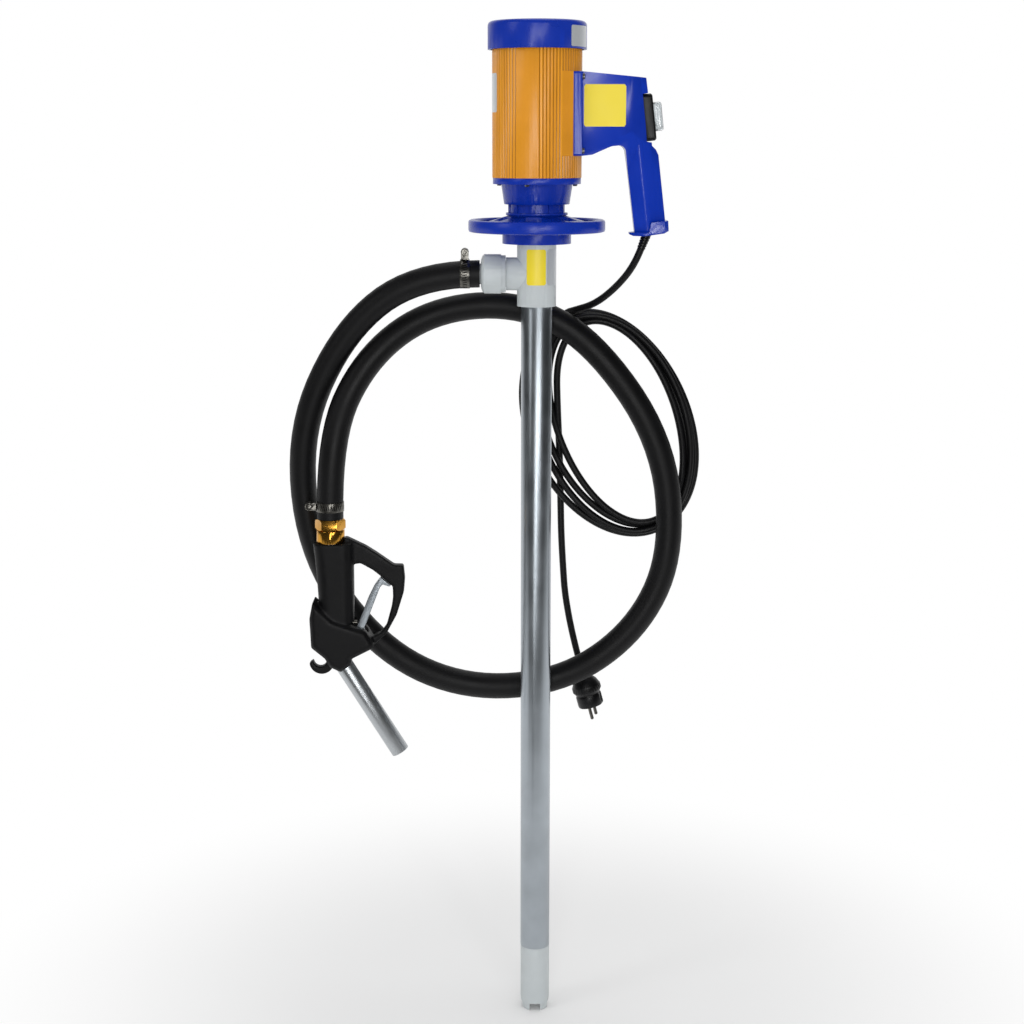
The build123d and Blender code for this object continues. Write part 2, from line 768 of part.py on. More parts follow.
def build_pump_foot():
    """The moulded foot: pump housing in the tube's end, inlet below with four legs."""
    low = -immersion_length
    spigot = tube_radius - tube_wall - shaft_fit
    shoulder = low + foot_leg_height
    foot = turned((foot_bore_radius, shoulder), (foot_leg_radius, low), (foot_leg_radius + 1.6, low),
                  (foot_radius, shoulder + 6), (foot_radius, tube_end), (spigot, tube_end),
                  (spigot, tube_end + foot_spigot_depth),
                  (foot_bore_radius, tube_end + foot_spigot_depth))
    slot = Pos(0, 0, low + foot_leg_height / 2 - 1) * Box(60, 15, foot_leg_height + 2)
    slot = fillet(slot.edges().filter_by(Axis.X).sort_by(Axis.Z)[-2:], 2)
    foot = foot - slot - Rot(0, 0, 90) * slot
    spider = Pos(0, 0, tube_end - 6) * Box(2 * foot_bore_radius + 2, 3, 8)
    hub = bar(inner_tube_radius, tube_end - 12, tube_end)
    foot += spider + Rot(0, 0, 90) * spider + hub
    return foot - bar(pump_shaft_radius + thread_fit, tube_end - 20, tube_end + 5)


def build_inner_tube():
    """The tube round the pump shaft, from the foot's hub to the shaft seal."""
    return tube(inner_tube_radius, inner_tube_radius - inner_tube_wall, tube_end, body_height - 8)


def build_shaft_bushes():
    """Plain bushes that hold the long shaft inside the inner tube."""
    low = tube_end + 4
    pitch = (body_height - 30 - low - bush_length) / (bush_count - 1)
    outer = inner_tube_radius - inner_tube_wall
    inner = pump_shaft_radius + shaft_fit
    return [tube(outer, inner, low + pitch * k, low + pitch * k + bush_length)
            for k in range(bush_count)]


def build_impeller():
    """The pump's rotor: a hub with three twisted blades on the shaft's end."""
    high = tube_end - 14
    low = high - impeller_height
    hub = bar(pump_shaft_radius + 2.5, low, high)
    hub += Pos(0, 0, low - 8) * Cone(1.5, pump_shaft_radius + 2.5, 8, align=BASE)
    blade = Plane(origin=(0, 0, low + 1)) * Rectangle(impeller_radius * 2 - 0.6, 2.2)
    turned_blade = Plane(origin=(0, 0, high - 1)) * Rot(0, 0, 60) * Rectangle(
        impeller_radius * 2 - 0.6, 2.2)
    middle = Plane(origin=(0, 0, (low + high) / 2)) * Rot(0, 0, 30) * Rectangle(
        impeller_radius * 2 - 0.6, 2.2)
    fin = loft([blade, middle, turned_blade], ruled=True)
    hub += fin & bar(impeller_radius, low, high)
    return hub - bar(pump_shaft_radius, low + 6, high + 1)


def build_discharge_body():
    """The moulded body: tube socket, chamber, side branch, collar and the seal's seat."""
    form = (bar(body_radius, 0, collar_low) + bar(collar_radius, collar_low, collar_high)
            + bar(body_chamber_radius - shaft_fit, collar_high, collar_high + 2))
    branch = bar_between((0, 0, outlet_height), (-branch_reach, 0, outlet_height), branch_radius)
    thread = bar_between((0, 0, outlet_height), (-branch_thread_reach, 0, outlet_height),
                         branch_thread_radius)
    form = form + branch + thread
    form -= bar(tube_radius - tube_wall + tube_spigot_wall, 0, tube_spigot_depth)
    form -= bar(body_chamber_radius, tube_spigot_depth - 0.5, body_height - 14)
    form -= bar(inner_tube_radius, body_height - 15, body_height - 8)
    form -= bar(inner_tube_radius - 1.5, body_height - 9, body_height)
    form -= bar(pump_shaft_radius + 1, body_height - 1, collar_high + 3)
    flow = bar_between((-body_chamber_radius + 6, 0, outlet_height),
                       (-branch_thread_reach - 1, 0, outlet_height), flow_radius)
    return form - flow


def build_handwheel():
    """The wheel that draws motor and pump together: hub, dished web with windows, rim."""
    low = body_height + running_gap
    high = neck_flange_low - running_gap
    lip_high = collar_low - running_gap
    rim_inner = rim_radius - rim_width
    edge = 3.0
    hub = turned((body_radius + running_gap, body_height), (hub_radius, body_height),
                 (hub_radius, rim_low + 3), (wheel_top_radius, high), (collar_radius + thread_fit, high),
                 (collar_radius + thread_fit, lip_high), (body_radius + running_gap, lip_high))
    web = turned((hub_radius - 4, rim_low + 3), (rim_inner + 2, rim_low + 3),
                 (rim_inner + 2, rim_low + 3 + wheel_web), (wheel_top_radius + 1, high - 1),
                 (hub_radius - 4, high - 6))
    rim = turned((rim_inner, rim_low + edge), (rim_inner + edge, rim_low),
                 (rim_radius - edge, rim_low), (rim_radius - 0.8, rim_low + 0.8),
                 (rim_radius, rim_low + edge), (rim_radius, rim_high - edge),
                 (rim_radius - 1.0, rim_high - 1.0), (rim_radius - edge, rim_high),
                 (rim_inner + 2, rim_high), (rim_inner, rim_high - 2))
    wheel = hub + web + rim
    middle = wheel_top_radius + 2.5 + wheel_window_reach / 2
    window = Pos(middle, 0, rim_low + 2) * Box(wheel_window_reach, wheel_window_width, 40,
                                               align=BASE)
    window = fillet(window.edges().filter_by(Axis.Z), 3)
    for piece in around(window, wheel_window_count, wheel_window_turn):
        wheel -= piece
    return wheel


def build_outlet_tail():
    """The hose tail that the union nut pulls against the branch."""
    start = branch_thread_reach + gasket_thickness
    profile = [(flow_radius - 3.5, start), (branch_thread_radius - 0.4, start),
               (branch_thread_radius - 0.4, start + tail_flange),
               (tail_shank_radius, start + tail_flange),
               (tail_shank_radius, hose_start), (flow_radius, hose_start),
               (flow_radius - 0.6, hose_start + barb_length), (flow_radius - 3.5,
                                                              hose_start + barb_length)]
    tail = turned(*profile)
    return Pos(0, 0, outlet_height) * Rot(0, -90, 0) * tail


def build_gasket():
    """The flat ring between the branch and the hose tail."""
    ring = tube(branch_thread_radius - 0.4, flow_radius, branch_thread_reach,
                branch_thread_reach + gasket_thickness)
    return Pos(0, 0, outlet_height) * Rot(0, -90, 0) * ring


def build_union_nut():
    """The union nut: an eight-sided grip with a domed shoulder, and a round collar."""
    length = nut_length
    grip = extrude(RegularPolygon(nut_radius, 8, major_radius=False, rotation=22.5), length - 6)
    shape = turned((0, 0), (nut_radius + 1, 0), (nut_radius + 1, length - 11),
                   (nut_radius - 2, length - 8), (nut_radius - 7, length - 6), (0, length - 6))
    collar = bar(nut_collar_radius, 0, 6)
    nut = Pos(0, 0, 6) * (grip & shape) + collar
    lip = branch_thread_reach + gasket_thickness + tail_flange - branch_reach
    nut -= bar(branch_thread_radius + thread_fit, -1, lip)
    nut -= bar(tail_shank_radius + running_gap, -1, length + 1)
    return Pos(-branch_reach - running_gap, 0, outlet_height) * Rot(0, -90, 0) * nut


hose_route = [(-hose_start, 0, outlet_height), (-158, 0, outlet_height), (-258, 16, -34),
              (-326, 36, -180), (-310, 52, -361), (-214, 54, -491), (-95, 52, -545),
              (41, 50, -532), (142, 50, -458), (191, 50, -349), (175, 50, -188),
              (71, 51, -44), (-30, 50, 1), (-145, 38, -10), (-229, 18, -72),
              (nozzle_x, 0, -176), (nozzle_x, 0, nozzle_hose_end)]


def build_hose():
    """The delivery hose, with a blind bore at each end for its hose tail."""
    hose = cord_tube("delivery_hose", hose_route, hose_diameter)
    hose -= bar_between((-hose_start + 1, 0, outlet_height),
                        (-hose_start - barb_length - 1, 0, outlet_height), flow_radius + shaft_fit)
    low = nozzle_hose_end
    return hose - bar_between((nozzle_x, 0, low - 1), (nozzle_x, 0, low + barb_length + 1),
                              flow_radius + shaft_fit)


def clamp_pieces():
    """A worm-drive band and its screw about the Z axis, with the screw at +X."""
    radius = hose_diameter / 2 + 0.02
    band = tube(radius + clamp_thickness, radius, -clamp_width / 2, clamp_width / 2)
    saddle = block(radius + 0.6, radius + clamp_screw_rise - 2, 7, -5, 5)
    line = radius + clamp_screw_rise
    saddle += bar_between((line, -7, 0), (line, 7, 0), 5.2)
    bore = bar_between((line, -9, 0), (line, 9, 0), 4)
    band = band + saddle - bore - bar(radius, -20, 20)
    screw = bar_between((line, -7, 0), (line, 7, 0), 3.9)
    screw += bar_between((line, -12, 0), (line, -7, 0), 4.6)
    screw -= Pos(line, -12, 0) * (Box(6, 2.4, 1.1) + Box(1.1, 2.4, 6))
    return band, screw


# Nozzle, in its own frame: x from the swivel's axis and z from the top of its cover

def at_nozzle(shape):
    """Move a piece from the nozzle's own frame to its place on the hose."""
    return Pos(nozzle_x, 0, nozzle_top) * shape


def build_nozzle_tail():
    """The brass hose tail with its hexagon and the journal that the nozzle turns on."""
    low = swivel_height + running_gap
    high = low + hex_height
    tail = Pos(0, 0, low) * extrude(RegularPolygon(hex_across / 2, 6, major_radius=False),
                                    hex_height)
    tail = tail & turned((0, low), (18, low), (21.5, low + 3), (21.5, high - 3), (18, high), (0, high))
    tail += bar(flow_radius, high, high + barb_length) + bar(14, low - 11, low)
    return at_nozzle(tail - bar(flow_radius - 3.5, low - 12, high + barb_length + 1))


def build_nozzle_swivel():
    """The brass swivel nut on top of the nozzle."""
    ring = tube(swivel_radius, 14 + shaft_fit, 0, swivel_height)
    ring += tube(13, flow_radius - 3.5, -12, swivel_height + running_gap - 11.4)
    ring += tube(swivel_radius - 1.5, flow_radius - 3.5, 0, 5)
    return at_nozzle(ring)


def spout_line():
    """The spout's mouth and its direction in the nozzle's frame."""
    lean = radians(spout_lean)
    direction = Vector(sin(lean), 0, -cos(lean))
    return Vector(16.2, 0, -175.3), direction


def guard_outline():
    """The guard's side view: the strut from the grip's top, round to the shroud."""
    outer = polygon((10, 4), (21.4, 8), (48, -5), (62, -14), (86, -31), (98.8, -31),
                    (100.6, -50), (98.8, -69.5), (88.9, -101), (74.4, -128), (52.8, -147.6),
                    (26.5, -161), (10, -150))
    inner = polygon((28, -31), (31.2, -30), (40.6, -28.9), (56.9, -38.1), (67.3, -46.5),
                    (83.6, -61), (84.0, -76), (82, -88.9), (74.6, -115.8), (67.3, -125.6),
                    (55.4, -131.7), (29.6, -121), (28, -121))
    return outer - inner


def grip_section(height, middle, half_x, half_y, corner):
    """One section of the nozzle's grip."""
    return Plane(origin=(middle, 0, height)) * RectangleRounded(2 * half_x, 2 * half_y, corner)


def build_nozzle_cover():
    """The moulded cover: grip, shroud, guard and hanging hook in one piece."""
    grip = loft([grip_section(-running_gap, 3.5, 27.0, 20, 15), grip_section(-42, 5.5, 25.4, 19.5, 15),
                 grip_section(-112, 6.5, 23.4, 19, 14)])
    shroud = plate_xz(polygon((-25, -80), (3, -106), (26, -114), (47, -121), (58, -140),
                              (56, -146), (26.5, -161), (26.4, -168.5), (11.9, -179.6),
                              (-4, -172), (-9.5, -160.5), (-28.2, -145), (-29.8, -104)), 23.5)
    shroud = chamfer(shroud.faces().sort_by(Axis.Y)[0].edges(), 5)
    shroud = chamfer(shroud.faces().sort_by(Axis.Y)[-1].edges(), 5)
    guard = plate_xz(guard_outline(), 8)
    hook_ring = Pos(-15.5, -168.5) * Circle(17.2) - Pos(-17.5, -166) * Circle(9)
    hook_part = polygon((-17.5, -159.5), (-45, -178), (-45, -200), (10, -200), (10, -159.5))
    hook = plate_xz(hook_ring & hook_part, 7)
    cover = grip + shroud + guard + hook
    cover -= bar(valve_body_radius, -144, 2)
    cover -= bar(swivel_radius + running_gap, -running_gap, swivel_height)
    mouth, direction = spout_line()
    cover -= bar_between(mouth - direction * spout_inset, mouth + direction * 30, spout_radius)
    x, z = lever_pivot
    slot = plate_xz(Pos(x, z) * Circle(9.6), lever_thickness / 2 + 0.6)
    slot += plate_xz(polygon((x - 16, z + 20), (x - 9, z), (x + 9.4, z), (x + 16, z + 20)),
                     lever_thickness / 2 + 0.6)
    pin = bar_between((x, -lever_pin_reach, z), (x, lever_pin_reach, z), lever_pin_radius)
    stem = bar_between((-20, 0, z + stem_height), (34, 0, z + stem_height),
                       stem_radius + running_gap)
    return at_nozzle(cover - slot - pin - stem)


def build_nozzle_valve_body():
    """The valve casting inside the cover, bored for the flow and for the stem."""
    body = bar(valve_body_radius, -144, -0.2)
    body -= bar(13, -12, 1)
    x, z = lever_pivot
    height = z + stem_height
    body -= bar(flow_radius - 3.5, height, -11)
    body -= bar_between((valve_spring_seat, 0, height), (stem_seat, 0, height),
                        poppet_radius + running_gap)
    body -= bar_between((0, 0, height), (stem_rest, 0, height), stem_radius + shaft_fit)
    mouth, direction = spout_line()
    return at_nozzle(body - bar_between(mouth - direction * spout_inset,
                                        mouth + direction * 30, spout_radius))


def build_spout():
    """The aluminium spout, with its end cut square and its mouth eased."""
    mouth, direction = spout_line()
    end = mouth + direction * spout_length
    start = mouth - direction * spout_inset
    return at_nozzle(bar_between(start, end, spout_radius)
                     - bar_between(start + direction * 12, end, spout_radius - spout_wall))


def build_lever():
    """The nozzle's lever: a curved blade, its wide top end and its eye."""
    x, z = lever_pivot
    side_view = polygon((67.3, -48.6), (58.9, -59.8), (50.4, -76.8), (41.8, -98.7), (31.9, -123.1),
                        (x - 8, z), (x + 8, z), (43.5, -120), (47.4, -112), (56.1, -88.9),
                        (66.5, -62.5), (70.0, -58.6), (79.0, -61.5), (81.3, -60.2))
    blade = plate_xz(side_view, lever_thickness / 2)
    eye = plate_xz(Pos(x, z) * Circle(8.3), lever_thickness / 2)
    hole = bar_between((x, -10, z), (x, 10, z), lever_pin_radius + thread_fit)
    return at_nozzle(blade + eye - hole)


def build_valve_stem():
    """The stem that the lever pushes, with its valve disc."""
    x, z = lever_pivot
    height = z + stem_height
    back = stem_seat - shaft_fit - poppet_thickness
    stem = bar_between((back, 0, height), (stem_rest, 0, height), stem_radius)
    disc = bar_between((back, 0, height), (stem_seat - shaft_fit, 0, height), poppet_radius)
    return at_nozzle(stem + disc)


def build_valve_spring():
    """The spring behind the valve disc, as its coil."""
    z = lever_pivot[1] + stem_height
    wire_radius = 0.6
    length = stem_seat - poppet_thickness - valve_spring_seat - 2 * wire_radius - 2 * running_gap
    coil = Helix(pitch=length / 4, height=length, radius=6.2)
    wire = sweep(Plane(origin=coil @ 0, z_dir=coil % 0) * Circle(wire_radius), path=coil)
    start = valve_spring_seat + wire_radius + running_gap
    return at_nozzle(Pos(start, 0, z) * Rot(0, 90, 0) * wire)


# Mains lead

def along(point, lean, distance):
    """A point moved down a line that leans from the vertical in the XZ plane."""
    return (point[0] + distance * sin(radians(lean)), point[1],
            point[2] - distance * cos(radians(lean)))


lead_route = [relief_end, along(relief_exit, -relief_lean, relief_length + 22), (108, 24, 24),
              (80, 50, -2), (50, 73, -13), (31, 86, -36)]

plug_top = along(plug_centre, plug_lean, -plug_length)
drop_route = [(37.5, 90, -303), (37, 93, -350), (43, 97, -420), along(plug_top, plug_lean, -45),
              plug_top]


def build_strain_relief():
    """The tapered sleeve where the lead leaves the grip."""
    lean = radians(relief_lean)
    start = Plane(origin=relief_start, z_dir=(-sin(lean), 0, -cos(lean)))
    sleeve = Cylinder(relief_radius, relief_inside, align=BASE)
    sleeve += Pos(0, 0, relief_inside) * Cone(relief_radius, lead_diameter / 2 + 0.6,
                                              relief_length, align=BASE)
    return start * sleeve


def build_lead_coil():
    """The outer shape of the hung coil of lead: an upright oval ring, thicker at the left."""
    ring = Pos(102, -173.5) * Ellipse(128, 162.5) - Pos(111.5, -163) * Ellipse(73.5, 128)
    return plate_xz(ring, coil_depth / 2, coil_middle)


def plug_frame():
    """The plug's frame: origin in its contact face, z towards the lead."""
    lean = radians(plug_lean)
    return Plane(origin=plug_centre, x_dir=(0.35, 0.93, 0), z_dir=(-sin(lean), 0, cos(lean)))


def build_plug_body():
    """The moulded earthed plug, with the grooves for its side contacts."""
    body = turned((0, 0), (17.6, 0), (18.4, 2), (18.4, 15), (17.2, 18), (20.3, 23), (20.3, 30),
                  (17, 37), (8.5, 46), (lead_diameter / 2 + 1.5, plug_length), (0, plug_length))
    groove = Pos(0, 20, 9) * Box(9, 6, 26)
    return plug_frame() * (body - groove - Rot(0, 0, 180) * groove)


def build_plug_pins():
    """The two contact pins with eased tips."""
    pin = turned((0, 0), (plug_pin_radius, 0), (plug_pin_radius, plug_pin_length - 1.2),
                 (plug_pin_radius - 1, plug_pin_length), (0, plug_pin_length))
    pin = Rot(180, 0, 0) * pin
    return [plug_frame() * Pos(side * plug_pin_pitch / 2, 0, 0) * pin for side in (-1, 1)]


save(build_motor_cap(), "motor_cap")
save(build_motor_housing(), "motor_housing")
save(build_upper_bracket(), "upper_bracket")
save(build_end_shield(), "end_shield")
save(joined(build_base_screws()), "base_screws")
save(build_field_core(), "field_core")
save(joined(build_field_windings()), "field_windings")
save(joined(build_brush_holders()), "brush_holders")
save(joined(build_carbon_brushes()), "carbon_brushes")
save(joined([bearing_outer(lower_bearing), bearing_outer(upper_bearing)]), "bearing_outer_rings")
save(joined([tube(bearing_inner_radius, motor_shaft_radius, low, low + bearing_height)
             for low in (lower_bearing, upper_bearing)]), "bearing_inner_rings")
save(build_shaft(), "armature_shaft")
save(build_armature_core(), "armature_core")
save(build_armature_winding(), "armature_winding")
save(build_commutator(), "commutator")
save(build_fan(), "cooling_fan")

save(build_coupling(claws_high + running_gap, motor_half_high, claws_low + running_gap,
                    claws_high + running_gap, 0, motor_shaft_radius - 1), "motor_coupling")
save(build_coupling(pump_half_low, claws_low, claws_low, claws_high, 60,
                    pump_shaft_radius), "pump_coupling")

save(build_handle_plate(), "handle_plate")
front_shell, rear_shell = build_handle_shells()
save(front_shell, "handle_shell_front")
save(rear_shell, "handle_shell_rear")
save(joined(build_handle_plate_screws()), "handle_plate_screws")
save(build_grip_end(), "grip_end_cap")
save(build_switch_frame(), "switch_frame")
save(build_switch_boot(), "switch_boot")
save(build_switch_rocker(), "switch_rocker")
save(joined(build_shell_screws()), "handle_shell_screws")
save(at_handle(block(0, 15, 18, 67, 82)), "terminal_block")
save(at_handle(block(0, 17, 10, 23, 43)), "suppression_capacitor")

save(build_outer_tube(), "outer_tube")
save(build_inner_tube(), "inner_tube")
save(joined(build_shaft_bushes()), "shaft_bushes")
save(build_pump_foot(), "pump_foot")
save(bar(pump_shaft_radius, tube_end - 14 - impeller_height + 6, claws_low - 1), "pump_shaft")
save(build_impeller(), "impeller")
save(build_discharge_body(), "discharge_body")
seal_bore = pump_shaft_radius + shaft_fit
save(tube(inner_tube_radius - 1.5, seal_bore, body_height - 8, body_height), "shaft_seal")
save(build_handwheel(), "handwheel")

save(build_union_nut(), "union_nut")
save(build_gasket(), "outlet_gasket")
save(build_outlet_tail(), "outlet_tail")
save(build_hose(), "delivery_hose")
outlet_clamp = Pos(-hose_start - outlet_clamp_inset, 0, outlet_height) * Rot(0, -90, 0)
nozzle_clamp = Pos(nozzle_x, 0, nozzle_hose_end + nozzle_clamp_inset) * Rot(0, 0, 180)
band, screw = clamp_pieces()
save(joined([outlet_clamp * band, nozzle_clamp * band]), "hose_clamp_bands")
save(joined([outlet_clamp * screw, nozzle_clamp * screw]), "hose_clamp_screws")

save(build_nozzle_tail(), "nozzle_hose_tail")
save(build_nozzle_swivel(), "nozzle_swivel")
save(build_nozzle_valve_body(), "nozzle_valve_body")
save(build_nozzle_cover(), "nozzle_cover")
save(build_spout(), "nozzle_spout")
save(build_lever(), "nozzle_lever")
pivot_x, pivot_z = lever_pivot
save(at_nozzle(bar_between((pivot_x, -lever_pin_reach, pivot_z),
                           (pivot_x, lever_pin_reach, pivot_z), lever_pin_radius)),
     "lever_pin")
save(build_valve_stem(), "valve_stem")
save(build_valve_spring(), "valve_spring")

save(build_strain_relief(), "cord_strain_relief")
save(cord_tube("lead_from_grip", lead_route, lead_diameter), "lead_from_grip")
save(build_lead_coil(), "lead_coil")
save(cord_tube("lead_to_plug", drop_route, lead_diameter), "lead_to_plug")
save(build_plug_body(), "plug_body")
save(joined(build_plug_pins()), "plug_pins")
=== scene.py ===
"""Electric drum pump: the dressed model, laid out as an add-on and run as a script."""
import json
from math import cos, pi, radians, sin, sqrt

import bmesh
import bpy
from mathutils import Matrix, Vector


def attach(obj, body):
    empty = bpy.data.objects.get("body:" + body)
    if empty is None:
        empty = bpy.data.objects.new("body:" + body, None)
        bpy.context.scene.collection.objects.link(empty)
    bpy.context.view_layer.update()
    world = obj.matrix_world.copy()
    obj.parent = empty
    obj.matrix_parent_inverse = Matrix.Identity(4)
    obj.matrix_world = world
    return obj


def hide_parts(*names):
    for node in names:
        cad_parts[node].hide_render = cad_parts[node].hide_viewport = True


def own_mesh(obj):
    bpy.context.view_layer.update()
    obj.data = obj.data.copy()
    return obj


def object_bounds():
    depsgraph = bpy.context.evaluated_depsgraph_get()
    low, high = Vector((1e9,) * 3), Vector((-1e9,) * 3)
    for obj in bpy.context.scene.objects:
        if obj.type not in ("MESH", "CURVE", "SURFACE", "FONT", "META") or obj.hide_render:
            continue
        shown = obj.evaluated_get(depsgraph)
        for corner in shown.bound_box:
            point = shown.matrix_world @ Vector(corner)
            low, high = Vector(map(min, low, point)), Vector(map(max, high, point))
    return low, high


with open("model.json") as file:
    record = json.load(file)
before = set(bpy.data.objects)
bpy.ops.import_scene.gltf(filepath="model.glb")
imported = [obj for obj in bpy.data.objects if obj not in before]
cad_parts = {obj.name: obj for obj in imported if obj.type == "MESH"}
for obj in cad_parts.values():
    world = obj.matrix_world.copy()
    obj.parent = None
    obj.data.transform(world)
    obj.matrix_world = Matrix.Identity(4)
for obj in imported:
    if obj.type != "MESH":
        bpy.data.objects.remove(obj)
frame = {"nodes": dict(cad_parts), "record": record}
cad_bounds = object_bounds()

bl_info = {
    "name": "Electric drum pump",
    "version": (1, 0, 0),
    "blender": (4, 5, 0),
    "location": "3D View > Sidebar > Drum pump",
    "description": "Builds the pieces, finishes and stage of an electric drum pump",
    "category": "Object",
}

# The camera of the photograph: film and lens in millimetres, and its step to the side in metres.
FILM_WIDTH = 36.0
LENS_LENGTH = 63.5625
CAMERA_SIDE = -0.0325
# Edges sharper than this stay crisp and are rounded, in degrees.
SHARP_ANGLE = 34.0
# Lamps: name, place, width and height in metres, and power in watts.
LAMPS = (
    ("Front", (-0.22, -2.5, -0.1), (0.3, 1.6), 13),
    ("Right", (0.72, -2.3, 0.3), (0.2, 0.9), 5),
    ("Left", (-1.9, -1.2, 0.9), (0.6, 1.2), 5),
    ("Top", (0.2, 0.5, 2.4), (1.6, 1.6), 16),
    ("Grip", (0.32, -2.4, 0.05), (0.2, 0.3), 4),
)
# How strongly paper and air light the object, and what gloss sees of them towards the lamps.
SKY_LIGHT = 0.68
SKY_GLOSS = 0.05
FLOOR_GLOSS = 0.07

BODIES = frame["record"]["behaviour"]["bodies"]
BODY_OF = {node: body for body, nodes in BODIES.items() for node in nodes}


def linear(code):
    """A linear RGBA colour from an sRGB hex code."""
    parts = [int(code[i:i + 2], 16) / 255 for i in (0, 2, 4)]
    return (*(part / 12.92 if part <= 0.04045 else ((part + 0.055) / 1.055) ** 2.4
              for part in parts), 1.0)


def length(name, text, metres):
    """A length that a user can change."""
    return bpy.props.FloatProperty(name=name, description=text, default=metres, min=0.0,
                                   unit="LENGTH")


def angle(name, text, degrees):
    """An angle that a user can change."""
    return bpy.props.FloatProperty(name=name, description=text, default=radians(degrees),
                                   subtype="ANGLE")


def count(name, text, number):
    """A number of like features that a user can change."""
    return bpy.props.IntProperty(name=name, description=text, default=number, min=1)


def hue(name, text, code):
    """A colour that a user can change."""
    return bpy.props.FloatVectorProperty(name=name, description=text, default=linear(code), size=4,
                                         subtype="COLOR", min=0.0, max=1.0)


class DrumPumpSizes(bpy.types.PropertyGroup):
    """Sizes of the pieces that the scene makes or eases."""
    camera_distance: length("Camera distance", "From the shaft's axis to the camera", 2.4)
    camera_height: length("Camera height", "Above the top of the bare tube", 0.214)
    camera_tilt: angle("Camera tilt", "How far the camera looks down", 11.6)
    hose_diameter: length("Hose diameter", "Outside diameter of the delivery hose", 0.036)
    lead_diameter: length("Lead diameter", "Outside diameter of the mains lead", 0.0095)
    coil_turns: count("Coil turns", "Full turns in the hung coil of lead", 4)
    turn_points: count("Points per turn", "Points of the lead's spline in one turn", 16)
    relief_rings: count("Strain relief rings", "Rings along the tapered strain relief", 5)
    casing_edge: length("Casing edge", "Rounding on the motor's mouldings", 0.0009)
    rib_edge: length("Rib edge", "Rounding on the barrel's ribs", 0.0003)
    handle_edge: length("Handle edge", "Rounding on the handle's edges", 0.0016)
    wet_end_edge: length("Wet end edge", "Rounding on body, nut and foot", 0.0008)
    metal_edge: length("Metal edge", "Rounding on turned and cast metal", 0.0004)
    cover_voxel: length("Cover grain", "Grid on which the nozzle's cover is softened", 0.0012)
    label_thickness: length("Label thickness", "Thickness of a film label", 0.00015)
    label_corner: length("Label corner", "Corner radius of a film label", 0.0018)
    shell_screw_diameter: length("Shell screw head", "Diameter of the handle screws' heads", 0.006)
    band_screw_diameter: length("Band screw head", "Diameter of the band screws' heads", 0.007)
    recess_width: length("Cross recess", "Width of the cross recess in a screw's head", 0.0009)
    plug_rib_count: count("Plug ribs", "Grip ribs round the plug", 28)
    slot_pitch: length("Clamp slot pitch", "Distance between a clamp band's slots", 0.0032)
    slot_length: length("Clamp slot length", "Length of a clamp band's slot", 0.0062)


class DrumPumpColours(bpy.types.PropertyGroup):
    """Colours of the mouldings, coatings and metals."""
    blue: hue("Blue", "Motor and handle mouldings", "022B9B")
    yellow: hue("Yellow", "Coating of the motor's barrel", "D48B16")
    natural: hue("Natural plastic", "Body, nut and foot", "B8BEC0")
    aluminium: hue("Aluminium", "Pump tube, lever and spout", "ABB2B8")
    steel: hue("Steel", "Screws and clamps", "6E6C67")
    copper: hue("Copper", "Windings and commutator", "B4663A")
    brass: hue("Brass", "Nozzle tail and swivel", "C8923A")
    black: hue("Black", "Hose, lead and black mouldings", "08080A")
    grey: hue("Grey", "Rocker of the switch", "B9BCBE")
    label: hue("Label", "Blank film labels", "E6CF1E")


# Nodes and materials

def add(tree, kind, inputs=None, **settings):
    """One node: an input given a socket is linked, and any other is set."""
    node = tree.nodes.new(kind)
    for name, value in settings.items():
        setattr(node, name, value)
    for name, value in (inputs or {}).items():
        if isinstance(value, bpy.types.NodeSocket):
            tree.links.new(value, node.inputs[name])
        else:
            node.inputs[name].default_value = value
    return node


def start_material(name):
    """A new material with an empty tree, its output and a principled shader."""
    made = bpy.data.materials.new(name)
    made.use_nodes = True
    tree = made.node_tree
    tree.nodes.clear()
    shader = add(tree, "ShaderNodeBsdfPrincipled")
    add(tree, "ShaderNodeOutputMaterial", {"Surface": shader.outputs[0]})
    return made, tree, shader


def shade(colour, share):
    """The colour made darker or lighter by a share."""
    return tuple(min(1.0, part * share) for part in colour[:3]) + (1.0,)


